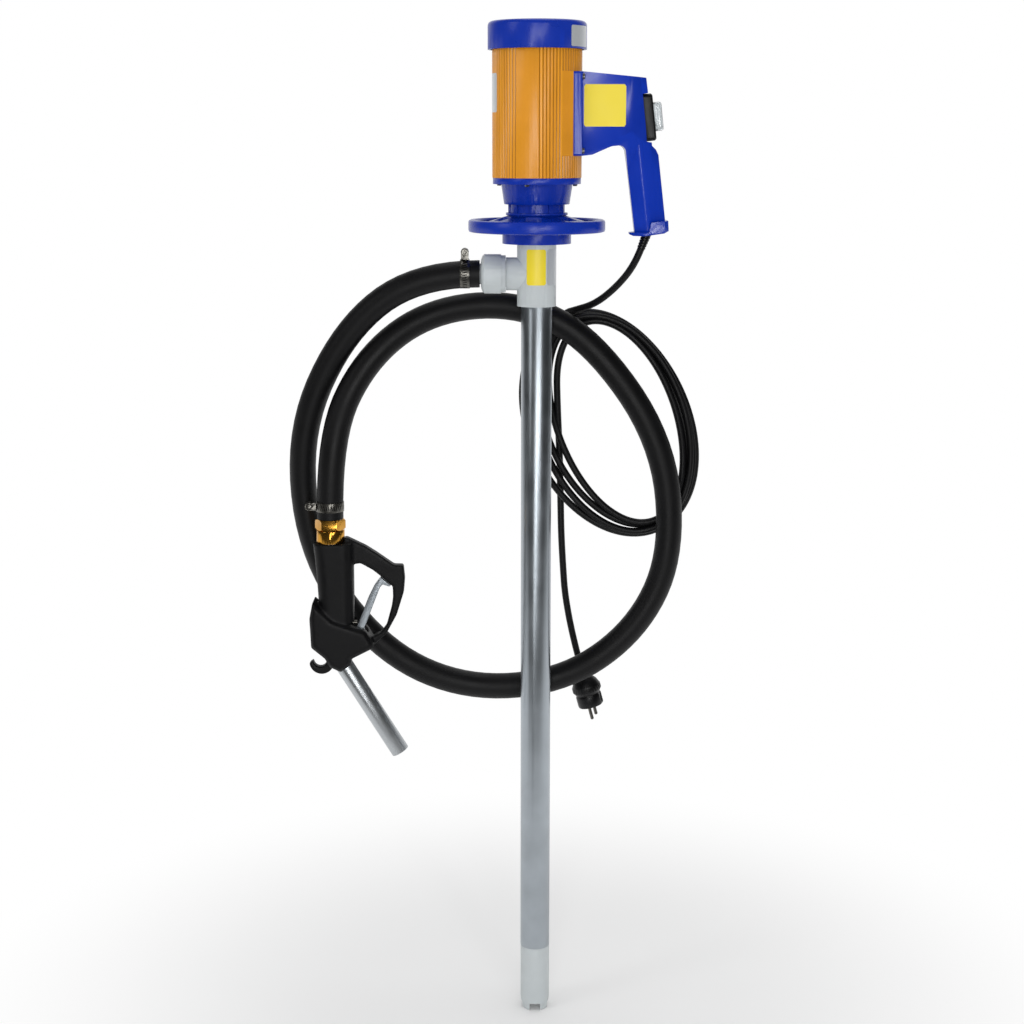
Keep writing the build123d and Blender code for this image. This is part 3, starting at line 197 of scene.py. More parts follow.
def surface(name, colour, roughness, spread=0.06, cloud=0.03, grain=0.0006, depth=0.00003,
            stretch=(1, 1, 1), rub=0.25, groove=None, **settings):
    """A material with cloudy colour, uneven gloss, a fine relief, edges lightened by rubbing and
    painted shade in grooves.

    cloud and grain are the widths of the colour's clouds and of the relief's grains in metres.
    groove gives the radii from the pump's axis between which painted shade darkens the coating, and
    how far.
    """
    made, tree, shader = start_material(name)
    place = add(tree, "ShaderNodeTexCoord").outputs["Object"]
    drawn = add(tree, "ShaderNodeMapping", {"Vector": place, "Scale": stretch}).outputs[0]
    clouds = add(tree, "ShaderNodeTexNoise", {"Vector": place, "Scale": 1 / cloud, "Detail": 3.0})
    grains = add(tree, "ShaderNodeTexNoise", {"Vector": drawn, "Scale": 1 / grain, "Detail": 2.0})
    tone = add(tree, "ShaderNodeMapRange", {"Value": clouds.outputs["Fac"], "From Min": 0.3,
               "From Max": 0.7, "To Min": 0.0, "To Max": 1.0})
    base = add(tree, "ShaderNodeMix", {"Factor": tone.outputs[0], "A": shade(colour, 1 - spread),
               "B": shade(colour, 1 + spread)}, data_type="RGBA")
    edge = add(tree, "ShaderNodeNewGeometry").outputs["Pointiness"]
    worn = add(tree, "ShaderNodeMapRange", {"Value": edge, "From Min": 0.53, "From Max": 0.6,
               "To Min": 0.0, "To Max": rub})
    wear_and_groove_shade = add(tree, "ShaderNodeMix", {"Factor": worn.outputs[0], "A": base.outputs["Result"],
                 "B": shade(colour, 1.7)}, data_type="RGBA")
    # Painted shade: the coating is darkened between the given radii, in the grooves between the
    # barrel's ribs, where shade falls.
    if groove:
        low, high, share = groove
        level = add(tree, "ShaderNodeVectorMath", {0: place, 1: (1, 1, 0)}, operation="MULTIPLY")
        reach = add(tree, "ShaderNodeVectorMath", {0: level.outputs[0]}, operation="LENGTH")
        groove_shade = add(tree, "ShaderNodeMapRange", {"Value": reach.outputs["Value"], "From Min": low,
                   "From Max": high, "To Min": share, "To Max": 0.0})
        wear_and_groove_shade = add(tree, "ShaderNodeMix", {"Factor": groove_shade.outputs[0],
                     "A": wear_and_groove_shade.outputs["Result"], "B": shade(colour, 0.35)}, data_type="RGBA")
    gloss = add(tree, "ShaderNodeMapRange", {"Value": clouds.outputs["Fac"], "From Min": 0.3,
                "From Max": 0.7, "To Min": roughness * 0.88, "To Max": roughness * 1.14})
    relief = add(tree, "ShaderNodeBump", {"Height": grains.outputs["Fac"], "Distance": depth,
                 "Strength": 1.0})
    tree.links.new(wear_and_groove_shade.outputs["Result"], shader.inputs["Base Color"])
    tree.links.new(gloss.outputs[0], shader.inputs["Roughness"])
    tree.links.new(relief.outputs[0], shader.inputs["Normal"])
    for key, value in settings.items():
        shader.inputs[key.replace("_", " ")].default_value = value
    return made


MATERIALS = {}


def finish_named(name):
    """A finish by its short name. The first call makes them all."""
    if not MATERIALS:
        make_materials(bpy.context.scene.drum_pump_colours)
    return MATERIALS[name]


def make_materials(colours):
    """Every finish of the object, by a short name."""
    metal = {"Metallic": 1.0}
    # Polyamide, injection moulded: slightly glossy, with a faint spark-eroded grain.
    MATERIALS["blue"] = surface("Polyamide, moulded, blue", colours.blue, 0.28, spread=0.07,
                                grain=0.0007, depth=0.00002, Specular_IOR_Level=0.35)
    # The same moulding polished in the tool: the handle shines more than the motor's mouldings.
    MATERIALS["gloss"] = surface("Polyamide, moulded, polished blue", colours.blue, 0.2,
                                 spread=0.05, grain=0.003, depth=0.00003, Specular_IOR_Level=0.5)
    # Die-cast aluminium, powder coated: satin with soft orange peel, rubbed on the ribs, with
    # painted shade darkening the grooves between them.
    MATERIALS["yellow"] = surface("Die-cast aluminium, powder coated", colours.yellow, 0.31,
                                  spread=0.05, cloud=0.045, grain=0.0016, depth=0.00004, rub=0.3,
                                  groove=(0.0572, 0.0581, 0.75))
    # Polypropylene without pigment, moulded: milky, with light going into it.
    MATERIALS["natural"] = surface("Polypropylene, natural, moulded", colours.natural, 0.4,
                                   spread=0.025, cloud=0.02, grain=0.001, depth=0.00002, rub=0.1,
                                   Subsurface_Weight=0.35, Subsurface_Scale=0.006,
                                   Subsurface_Radius=(1.0, 0.95, 0.9))
    # Aluminium tube, drawn: fine lines run along it, and it is dulled by handling.
    MATERIALS["tube"] = surface("Aluminium tube, drawn", colours.aluminium, 0.34, spread=0.1,
                                cloud=0.05, grain=0.0009, depth=0.00001, stretch=(1, 1, 0.02),
                                rub=0.0, **metal)
    # Aluminium tube, rolled: satin and slightly uneven, paler than the pump's tube.
    MATERIALS["spout"] = surface("Aluminium tube, rolled", linear("BEC2C5"), 0.38, spread=0.07,
                                 cloud=0.03, grain=0.006, depth=0.000004, rub=0.0, **metal)
    # Aluminium, die cast and tumbled: a dull, slightly pitted skin.
    MATERIALS["cast"] = surface("Aluminium, die cast", colours.aluminium, 0.45, spread=0.08,
                                cloud=0.01, grain=0.0008, depth=0.00005, rub=0.2, **metal)
    # Steel, zinc plated: bright with a faint cloudy bloom.
    MATERIALS["steel"] = surface("Steel, zinc plated", colours.steel, 0.3, spread=0.12, cloud=0.004,
                                 grain=0.0005, depth=0.00001, rub=0.3, **metal)
    # Electrical steel, stamped and stacked: thin lines between its sheets.
    MATERIALS["iron"] = surface("Electrical steel, stacked", linear("5B5D60"), 0.42, spread=0.15,
                                cloud=0.01, grain=0.0012, depth=0.00006, stretch=(0.02, 0.02, 1),
                                **metal)
    # Copper wire, enamelled and wound: a reddish gloss, wire beside wire.
    MATERIALS["copper"] = surface("Copper wire, enamelled", colours.copper, 0.3, spread=0.2,
                                  cloud=0.003, grain=0.0012, depth=0.0001, stretch=(1, 1, 0.3),
                                  Coat_Weight=0.5, **metal)
    # Brass, turned: bright rings from the tool, darker where it has been held.
    MATERIALS["brass"] = surface("Brass, turned", colours.brass, 0.17, spread=0.12, cloud=0.008,
                                 grain=0.0008, depth=0.00001, stretch=(0.05, 0.05, 1), rub=0.3,
                                 **metal)
    # Carbon, pressed: dull and sooty.
    MATERIALS["carbon"] = surface("Carbon, pressed", linear("2A2A2C"), 0.6, cloud=0.002)
    # Polyamide, injection moulded: black and slightly glossy with a fine grain.
    MATERIALS["black"] = surface("Polyamide, moulded, black", colours.black, 0.38, spread=0.15,
                                 cloud=0.01, grain=0.0006, depth=0.00003, rub=0.06,
                                 Specular_IOR_Level=0.35)
    # Polyvinyl cover, dip moulded: rubbery, with a soft wide sheen.
    MATERIALS["cover"] = surface("Soft vinyl, moulded, black", colours.black, 0.5, spread=0.12,
                                 cloud=0.015, grain=0.0009, depth=0.00006, rub=0.03,
                                 Specular_IOR_Level=0.25)
    # Rubber hose, wrapped and steam cured: matt, with the wrapping cloth's print and chalky rubs.
    MATERIALS["hose"] = surface("Rubber hose, wrapped", colours.black, 0.5, spread=0.25, cloud=0.05,
                                grain=0.0013, depth=0.00009, rub=0.0, Specular_IOR_Level=0.3)
    # Rubber sheathed lead, extruded: smooth and dark with a dull shine.
    MATERIALS["lead"] = surface("Rubber sheath, extruded", colours.black, 0.46, spread=0.2,
                                cloud=0.02, grain=0.0008, depth=0.00003, rub=0.0,
                                Specular_IOR_Level=0.3)
    # Nitrile rubber, moulded: black and matt.
    MATERIALS["seal"] = surface("Nitrile rubber, moulded", linear("202022"), 0.6, cloud=0.003)
    # Acrylonitrile styrene plastic, moulded: light grey and glossy, as a switch's rocker is.
    MATERIALS["grey"] = surface("Styrene plastic, moulded, grey", colours.grey, 0.3, spread=0.03,
                                grain=0.0005, depth=0.00001, rub=0.1)
    # Soft vinyl, clear: it shows the rocker behind, with bright rims.
    MATERIALS["clear"] = surface("Soft vinyl, clear", linear("E4E8EA"), 0.12, spread=0.01,
                                 grain=0.002, depth=0.00002, rub=0.0, Transmission_Weight=0.85,
                                 IOR=1.45)
    # Polyester film, printed yellow and laminated: even colour under a faint clear gloss.
    MATERIALS["label"] = surface("Polyester film, yellow", colours.label, 0.45, spread=0.0, rub=0.0,
                                 Coat_Weight=0.1, Coat_Roughness=0.12)
    # Polyester film, metallised: pale grey with a silvery gloss.
    MATERIALS["plate"] = surface("Polyester film, silver", linear("BFC3C6"), 0.32, spread=0.0,
                                 rub=0.0, Metallic=0.35, Coat_Weight=0.3, Coat_Roughness=0.15)


# Shapes

def put(name, mesh):
    """A new object at the origin that shows the mesh."""
    piece = bpy.data.objects.new(name, mesh)
    bpy.context.scene.collection.objects.link(piece)
    return piece


def plain(piece):
    """The piece with its modifiers worked into its mesh."""
    bpy.context.view_layer.update()
    view = bpy.context.evaluated_depsgraph_get()
    mesh = bpy.data.meshes.new_from_object(piece.evaluated_get(view), depsgraph=view)
    old = piece.data
    piece.modifiers.clear()
    if piece.type == "MESH":
        piece.data = mesh
        mesh.name = piece.name
        return piece
    name = piece.name
    bpy.data.objects.remove(piece)
    bpy.data.curves.remove(old)
    return put(name, mesh)


def finish(piece, material, body, nodes=()):
    """Give a piece its material and body, and hide the nodes that it stands for."""
    piece.data.materials.clear()
    piece.data.materials.append(finish_named(material))
    if piece.type == "MESH":
        for face in piece.data.polygons:
            face.material_index = 0
    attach(piece, body)
    if nodes:
        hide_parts(*nodes)
    return piece


def merged(node, name):
    """A joined-up copy of a CAD node's mesh, with its flat faces whole."""
    mesh = frame["nodes"][node].data.copy()
    form = bmesh.new()
    form.from_mesh(mesh)
    bmesh.ops.remove_doubles(form, verts=form.verts, dist=2e-6)
    bmesh.ops.dissolve_limit(form, angle_limit=radians(0.4), verts=form.verts, edges=form.edges)
    form.to_mesh(mesh)
    form.free()
    mesh.name = name
    return put(name, mesh)


def smooth(piece, limit=SHARP_ANGLE):
    """Shade smooth, with edges sharper than the limit kept crisp."""
    piece.data.polygons.foreach_set("use_smooth", [True] * len(piece.data.polygons))
    piece.data.set_sharp_from_angle(angle=radians(limit))


def eased(node, width, material, steps=2):
    """A copy of a CAD node whose edges are rounded as the real piece's are."""
    piece = merged(node, node.replace("_", " ").title().replace(" ", ""))
    piece.data.polygons.foreach_set("use_smooth", [True] * len(piece.data.polygons))
    edge = piece.modifiers.new("Edge", "BEVEL")
    edge.width = width
    edge.segments = steps
    edge.limit_method = "ANGLE"
    edge.angle_limit = radians(SHARP_ANGLE)
    edge.use_clamp_overlap = True
    edge.harden_normals = True
    piece = plain(piece)
    smooth(piece)
    return finish(piece, material, BODY_OF[node], nodes=(node,))


def keep(node, material):
    """A CAD node that stays as it is, with a better finish."""
    mesh = frame["nodes"][node].data
    for index in range(len(mesh.materials)):
        mesh.materials[index] = finish_named(material)


def turned_piece(name, profile, start, end, steps=48):
    """A body turned about the line from start to end from (share of its length, radius) points."""
    start, end = Vector(start), Vector(end)
    axis = end - start
    turn = axis.to_track_quat("Z", "Y")
    form = bmesh.new()
    rings = []
    for share, radius in profile:
        ring = [form.verts.new(start + axis * share + turn @ Vector(
            (radius * cos(2 * pi * i / steps), radius * sin(2 * pi * i / steps), 0)))
            for i in range(steps)]
        rings.append(ring)
    for low, high in zip(rings, rings[1:]):
        for i in range(steps):
            form.faces.new((low[i], low[(i + 1) % steps], high[(i + 1) % steps], high[i]))
    form.faces.new(rings[0][::-1])
    form.faces.new(rings[-1])
    bmesh.ops.recalc_face_normals(form, faces=form.faces)
    mesh = bpy.data.meshes.new(name)
    form.to_mesh(mesh)
    form.free()
    return put(name, mesh)


def cord_curve(name, points, diameter, sides=10):
    """A round cord on a smooth spline whose control points are the route's."""
    line = bpy.data.curves.new(name, "CURVE")
    line.dimensions = "3D"
    spline = line.splines.new("NURBS")
    spline.points.add(len(points) - 1)
    for spot, point in zip(spline.points, points):
        spot.co = (*point, 1.0)
    spline.order_u = 3
    spline.use_endpoint_u = True
    spline.resolution_u = 8
    line.bevel_depth = diameter / 2
    line.bevel_resolution = sides
    line.use_fill_caps = True
    return put(name, line)


def geometry_tree(name, inputs):
    """A geometry node group with its output and named inputs; gives the tree and input sockets."""
    tree = bpy.data.node_groups.new(name, "GeometryNodeTree")
    tree.interface.new_socket("Geometry", in_out="INPUT", socket_type="NodeSocketGeometry")
    for label, kind in inputs:
        tree.interface.new_socket(label, in_out="INPUT", socket_type="NodeSocket" + kind)
    tree.interface.new_socket("Geometry", in_out="OUTPUT", socket_type="NodeSocketGeometry")
    return tree, tree.nodes.new("NodeGroupInput").outputs


def end_tree(tree, copies_made, material):
    """Realize the copies, give them their material and hand them out."""
    whole = add(tree, "GeometryNodeRealizeInstances", {"Geometry": copies_made})
    given = add(tree, "GeometryNodeSetMaterial", {"Geometry": whole.outputs[0],
                "Material": material})
    add(tree, "NodeGroupOutput", {"Geometry": given.outputs[0]})


def run_tree(piece, tree, values):
    """Put a node group on a piece, set its named inputs and work it in."""
    made = piece.modifiers.new(tree.name, "NODES")
    made.node_group = tree
    for item in tree.interface.items_tree:
        if item.item_type == "SOCKET" and item.in_out == "INPUT" and item.name in values:
            made[item.identifier] = values[item.name]
    return plain(piece)


def screw_tree():
    """Screws with a cross recess on every point: axis up, seat at the point."""
    tree, given = geometry_tree("Cross-head screws", (
        ("Head radius", "Float"), ("Head height", "Float"), ("Shank radius", "Float"),
        ("Shank length", "Float"), ("Recess", "Float"), ("Turn", "Rotation"),
        ("Finish", "Material")))

    def sum_of(first, second, kind="ADD"):
        return add(tree, "ShaderNodeMath", {0: first, 1: second}, operation=kind).outputs[0]

    def stood(shape, height):
        up = add(tree, "ShaderNodeCombineXYZ", {"Z": height})
        return add(tree, "GeometryNodeTransform", {"Geometry": shape,
                   "Translation": up.outputs[0]}).outputs[0]

    head = add(tree, "GeometryNodeMeshCone", {"Vertices": 24, "Radius Top": sum_of(
        given["Head radius"], 0.72, "MULTIPLY"), "Radius Bottom": given["Head radius"],
        "Depth": given["Head height"]})
    shank = add(tree, "GeometryNodeMeshCylinder", {"Vertices": 16, "Radius": given["Shank radius"],
                "Depth": given["Shank length"]})
    shank = stood(shank.outputs["Mesh"], sum_of(given["Shank length"], -0.5, "MULTIPLY"))
    wide = sum_of(given["Head radius"], 1.1, "MULTIPLY")
    bars = []
    for sides in (("X", "Y"), ("Y", "X")):
        size = add(tree, "ShaderNodeCombineXYZ", {sides[0]: wide, sides[1]: given["Recess"],
                   "Z": given["Head height"]})
        bar = add(tree, "GeometryNodeMeshCube", {"Size": size.outputs[0]})
        bars.append(stood(bar.outputs["Mesh"], given["Head height"]))
    cut = add(tree, "GeometryNodeMeshBoolean", {"Mesh 1": head.outputs["Mesh"]},
              operation="DIFFERENCE")
    for piece in bars:
        tree.links.new(piece, cut.inputs["Mesh 2"])
    both = add(tree, "GeometryNodeJoinGeometry")
    tree.links.new(cut.outputs["Mesh"], both.inputs[0])
    tree.links.new(shank, both.inputs[0])
    placed = add(tree, "GeometryNodeInstanceOnPoints", {"Points": given["Geometry"],
                 "Instance": both.outputs[0], "Rotation": given["Turn"]})
    end_tree(tree, placed.outputs[0], given["Finish"])
    return tree


def screws(name, places, turn, diameter, height, shank, node):
    """Screws at the given places that stand for a CAD node."""
    mesh = bpy.data.meshes.new(name)
    mesh.from_pydata(places, [], [])
    piece = put(name, mesh)
    sizes = bpy.context.scene.drum_pump_sizes
    tree = bpy.data.node_groups.get("Cross-head screws") or screw_tree()
    piece = run_tree(piece, tree, {"Head radius": diameter / 2, "Head height": height,
                     "Shank radius": diameter / 4, "Shank length": shank,
                     "Recess": sizes.recess_width, "Turn": turn,
                     "Finish": finish_named("steel")})
    smooth(piece)
    return finish(piece, "steel", BODY_OF[node], nodes=(node,))


def copies_tree():
    """Blocks in a ring about the Z axis."""
    tree, given = geometry_tree("Ring of blocks", (
        ("Count", "Int"), ("Radius", "Float"), ("First", "Float"), ("Step", "Float"),
        ("Slant", "Float"), ("Block", "Vector"), ("Finish", "Material")))

    def math(kind, first, second=0.0):
        return add(tree, "ShaderNodeMath", {0: first, 1: second}, operation=kind).outputs[0]

    index = add(tree, "GeometryNodeInputIndex").outputs[0]
    turn = math("ADD", given["First"], math("MULTIPLY", index, given["Step"]))
    place = add(tree, "ShaderNodeCombineXYZ", {
        "X": math("MULTIPLY", given["Radius"], math("COSINE", turn)),
        "Y": math("MULTIPLY", given["Radius"], math("SINE", turn))})
    points = add(tree, "GeometryNodePoints", {"Count": given["Count"],
                 "Position": place.outputs[0]})
    facing = add(tree, "FunctionNodeEulerToRotation", {"Euler": add(tree, "ShaderNodeCombineXYZ", {
        "X": given["Slant"], "Z": turn}).outputs[0]})
    block = add(tree, "GeometryNodeMeshCube", {"Size": given["Block"]})
    placed = add(tree, "GeometryNodeInstanceOnPoints", {"Points": points.outputs[0],
                 "Instance": block.outputs["Mesh"], "Rotation": facing.outputs[0]})
    end_tree(tree, placed.outputs[0], given["Finish"])
    return tree


def copies(name, number, radius, first, step, slant, block, material):
    """Like blocks at even turns about the Z axis, as one mesh."""
    piece = put(name, bpy.data.meshes.new(name))
    tree = bpy.data.node_groups.get("Ring of blocks") or copies_tree()
    return run_tree(piece, tree, {"Count": number, "Radius": radius, "First": first, "Step": step,
                    "Slant": slant, "Block": block, "Finish": finish_named(material)})


def film(name, width, height, spot, sizes, material, body):
    """A blank film label laid on a surface: spot gives the place and outward way of a point."""
    corner = sizes.label_corner
    across, up = 28, 20
    form = bmesh.new()
    levels = []
    for lift in (0.00003, sizes.label_thickness):
        grid = []
        for row in range(up + 1):
            line = []
            v = height * (row / up - 0.5)
            spare = max(0.0, abs(v) - (height / 2 - corner))
            cut = corner - sqrt(max(0.0, corner * corner - spare * spare))
            for column in range(across + 1):
                u = (width - 2 * cut) * (column / across - 0.5)
                place, out = spot(u, v)
                line.append(form.verts.new(Vector(place) + Vector(out) * lift))
            grid.append(line)
        levels.append(grid)
    low, high = levels
    for row in range(up):
        for column in range(across):
            square = ((row, column), (row, column + 1), (row + 1, column + 1), (row + 1, column))
            form.faces.new([high[r][c] for r, c in square])
            form.faces.new([low[r][c] for r, c in square][::-1])
    rim = ([(0, c) for c in range(across)] + [(r, across) for r in range(up)]
           + [(up, c) for c in range(across, 0, -1)] + [(r, 0) for r in range(up, 0, -1)])
    for (r, c), (s, d) in zip(rim, rim[1:] + rim[:1]):
        form.faces.new((low[r][c], low[s][d], high[s][d], high[r][c]))
    bmesh.ops.remove_doubles(form, verts=form.verts, dist=1e-7)
    bmesh.ops.recalc_face_normals(form, faces=form.faces)
    mesh = bpy.data.meshes.new(name)
    form.to_mesh(mesh)
    form.free()
    piece = put(name, mesh)
    smooth(piece)
    return finish(piece, material, body)


def on_drum(radius, middle, height):
    """Where a label's point lies on an upright cylinder: middle is the turn from the front."""
    def spot(u, v):
        turn = middle + u / radius
        out = Vector((sin(turn), -cos(turn), 0))
        return out * radius + Vector((0, 0, height + v)), out
    return spot


# Operators

class DRUMPUMP_OT_camera(bpy.types.Operator):
    """Place the camera where the photograph was taken from"""
    bl_idname = "drum_pump.camera"
    bl_label = "Camera"

    def execute(self, context):
        sizes = context.scene.drum_pump_sizes
        lens = bpy.data.cameras.new("Camera")
        lens.sensor_fit = "HORIZONTAL"
        lens.sensor_width = FILM_WIDTH
        lens.lens = LENS_LENGTH
        camera = put("Camera", lens)
        camera.location = (CAMERA_SIDE, -sizes.camera_distance, sizes.camera_height)
        camera.rotation_euler = (pi / 2 - sizes.camera_tilt, 0, 0)
        context.scene.camera = camera
        return {"FINISHED"}


class DRUMPUMP_OT_hose(bpy.types.Operator):
    """Hang the delivery hose from the outlet round to the nozzle"""
    bl_idname = "drum_pump.hose"
    bl_label = "Delivery hose"

    def execute(self, context):
        sizes = context.scene.drum_pump_sizes
        route = [(-0.0752, 0, 0.0422), (-0.158, 0, 0.0422), (-0.258, 0.016, -0.034),
                 (-0.326, 0.036, -0.18), (-0.31, 0.052, -0.361), (-0.214, 0.054, -0.491),
                 (-0.095, 0.052, -0.545), (0.041, 0.05, -0.532), (0.142, 0.05, -0.458),
                 (0.191, 0.05, -0.349), (0.175, 0.05, -0.188), (0.071, 0.051, -0.044),
                 (-0.03, 0.05, 0.001), (-0.145, 0.038, -0.01), (-0.229, 0.018, -0.072),
                 (-0.279, 0, -0.176), (-0.279, 0, -0.287)]
        hose = cord_curve("DeliveryHose", route, sizes.hose_diameter, sides=14)
        finish(hose, "hose", "pump_unit", nodes=("delivery_hose",))
        return {"FINISHED"}


class DRUMPUMP_OT_mains_lead(bpy.types.Operator):
    """Run the mains lead from the grip through its hung coil to the plug"""
    bl_idname = "drum_pump.mains_lead"
    bl_label = "Mains lead"

    def execute(self, context):
        sizes = context.scene.drum_pump_sizes
        route = [(0.136833, 0, 0.074328), (0.128949, 0, 0.05379), (0.108, 0.024, 0.024),
                 (0.08, 0.05, -0.002), (0.05, 0.073, -0.013)]
        # The coil winds inwards: its outer and inner turn are slanted ovals, each as middle x
        # and z, half width and height, and slant of each.
        outer = (0.1035, -0.172, 0.1245, 0.160, -0.015, -0.025)
        inner = (0.117, -0.1665, 0.086, 0.1385, -0.022, -0.025)
        first, last = radians(112), radians(180)
        steps = round((2 * pi * sizes.coil_turns + last - first) / (2 * pi) * sizes.turn_points)
        for step in range(steps + 1):
            share = step / steps
            turn = first + share * (2 * pi * sizes.coil_turns + last - first)
            x, z, wide, high, lean, drop = [a + (b - a) * share for a, b in zip(outer, inner)]
            whole = (turn - first) / (2 * pi)
            loose = 0.0015 * sin(2.3 * turn + 1.1 * whole)
            route.append((x + (wide + loose) * cos(turn) + lean * sin(turn),
                          0.0845 + 0.003 * cos(pi * (whole - 0.67)) - 0.001 * (1 - share),
                          z + (high + loose) * sin(turn) + drop * cos(turn)))
        route += [(0.034, 0.090, -0.215), (0.035, 0.0965, -0.25), (0.036, 0.0975, -0.285),
                  (0.037, 0.097, -0.33), (0.040, 0.097, -0.38), (0.043, 0.097, -0.42),
                  (0.054324, 0.098, -0.480577), (0.065971, 0.098, -0.524044)]
        lead = cord_curve("MainsLead", route, sizes.lead_diameter, sides=6)
        finish(lead, "lead", "pump_unit", nodes=("lead_from_grip", "lead_coil", "lead_to_plug"))
        return {"FINISHED"}


class DRUMPUMP_OT_strain_relief(bpy.types.Operator):
    """Make the ringed, tapered sleeve where the lead leaves the grip"""
    bl_idname = "drum_pump.strain_relief"
    bl_label = "Strain relief"

    def execute(self, context):
        sizes = context.scene.drum_pump_sizes
        top, bottom = (0.1483, 0, 0.104203), (0.136833, 0, 0.074328)
        thick, taper, groove = 0.0063, 0.00095, 0.0007
        first, ringed = 0.40, 0.58
        profile = [(0.0, thick), (0.36, thick)]
        for ring in range(sizes.relief_rings):
            low = first + ringed * ring / sizes.relief_rings
            high = low + ringed / sizes.relief_rings
            radius = thick - taper * (ring + 0.5) / sizes.relief_rings
            profile += [(low, radius - groove), (low + 0.012, radius), (high - 0.03, radius),
                        (high - 0.018, radius - groove)]
        profile += [(1.0, 0.0050)]
        relief = turned_piece("StrainRelief", profile, top, bottom)
        smooth(relief)
        finish(relief, "black", "pump_unit", nodes=("cord_strain_relief",))
        return {"FINISHED"}


class DRUMPUMP_OT_motor(bpy.types.Operator):
    """Ease and finish the motor's cap, barrel and lower casting"""
    bl_idname = "drum_pump.motor"
    bl_label = "Motor casing"

    def execute(self, context):
        sizes = context.scene.drum_pump_sizes
        eased("motor_cap", sizes.casing_edge, "blue")
        eased("end_shield", sizes.casing_edge, "blue")
        eased("motor_housing", sizes.rib_edge, "yellow")
        circle, seat = 0.0512, 0.159
        turns = [radians(index * 90 - 15) for index in range(4)]
        places = [(circle * cos(turn), circle * sin(turn), seat) for turn in turns]
        screws("BandScrews", places, (pi, 0, 0), sizes.band_screw_diameter, height=0.0026,
               shank=0.024, node="base_screws")
        # A closed disc between the vent neck's ribs, so that nobody sees through the neck.
        radius, low, high = 0.0352, 0.1221, 0.1329
        sleeve = turned_piece("VentSleeve", [(0.0, radius), (1.0, radius)], (0, 0, low),
                              (0, 0, high), steps=72)
        smooth(sleeve)
        finish(sleeve, "blue", "pump_unit")
        return {"FINISHED"}


class DRUMPUMP_OT_handle(bpy.types.Operator):
    """Ease and finish the handle's plate, shells and grip end"""
    bl_idname = "drum_pump.handle"
    bl_label = "Handle"

    def execute(self, context):
        sizes = context.scene.drum_pump_sizes
        eased("handle_plate", sizes.handle_edge * 0.6, "gloss")
        eased("handle_shell_front", sizes.handle_edge, "gloss", steps=3)
        eased("handle_shell_rear", sizes.handle_edge, "gloss", steps=3)
        eased("grip_end_cap", sizes.handle_edge * 0.7, "gloss", steps=3)
        keep("handle_plate_screws", "steel")
        places = [(0.0696, 0.0251, 0.287), (0.1266, 0.0221, 0.284), (0.0766, 0.0251, 0.213),
                  (0.1356, 0.0131, 0.190), (0.1416, 0.0131, 0.126)]
        screws("HandleShellScrews", places, (-pi / 2, 0, 0), sizes.shell_screw_diameter,
               height=0.0022, shank=0.012, node="handle_shell_screws")
        return {"FINISHED"}


class DRUMPUMP_OT_switch(bpy.types.Operator):
    """Finish the switch's frame, rocker and clear cover"""
    bl_idname = "drum_pump.switch"
    bl_label = "Switch"

    def execute(self, context):
        sizes = context.scene.drum_pump_sizes
        eased("switch_frame", sizes.casing_edge, "black")
        eased("switch_rocker", sizes.casing_edge, "grey")
        eased("switch_boot", sizes.casing_edge, "clear")
        return {"FINISHED"}


class DRUMPUMP_OT_pump(bpy.types.Operator):
    """Ease and finish the handwheel, body, tube and foot"""
    bl_idname = "drum_pump.pump"
    bl_label = "Pump"

    def execute(self, context):
        sizes = context.scene.drum_pump_sizes
        eased("handwheel", sizes.handle_edge, "blue", steps=3)
        for node in ("discharge_body", "union_nut", "outlet_tail", "pump_foot"):
            eased(node, sizes.wet_end_edge, "natural")
        eased("outer_tube", sizes.metal_edge, "tube")
        return {"FINISHED"}


class DRUMPUMP_OT_clamps(bpy.types.Operator):
    """Finish the hose clamps"""
    bl_idname = "drum_pump.clamps"
    bl_label = "Hose clamps"

    def execute(self, context):
        sizes = context.scene.drum_pump_sizes
        bands = eased("hose_clamp_bands", sizes.metal_edge * 0.6, "steel")
        # No slots are cut where the worm's housing stands.
        housing, slant, half_band = radians(80), radians(14), 0.0006
        radius = sizes.hose_diameter / 2 + half_band
        spread = 2 * pi - housing
        number = int(spread * radius / sizes.slot_pitch)
        cutter = copies("ClampSlots", number, radius, first=housing / 2,
                        step=spread / (number - 1), slant=slant,
                        block=(0.004, 0.0012, sizes.slot_length), material="steel")
        other = cutter.data.copy()
        cutter.data.transform(Matrix.Translation((-0.0946, 0, 0.0422))
                              @ Matrix.Rotation(-pi / 2, 4, "Y"))
        other.transform(Matrix.Translation((-0.279, 0, -0.2705)) @ Matrix.Rotation(pi, 4, "Z"))
        form = bmesh.new()
        form.from_mesh(cutter.data)
        form.from_mesh(other)
        form.to_mesh(cutter.data)
        form.free()
        slots = bands.modifiers.new("Slots", "BOOLEAN")
        slots.operation = "DIFFERENCE"
        slots.object = cutter
        bands = plain(bands)
        bpy.data.objects.remove(cutter)
        smooth(bands)
        finish(bands, "steel", "pump_unit", nodes=("hose_clamp_bands",))
        eased("hose_clamp_screws", sizes.metal_edge, "steel")
        return {"FINISHED"}


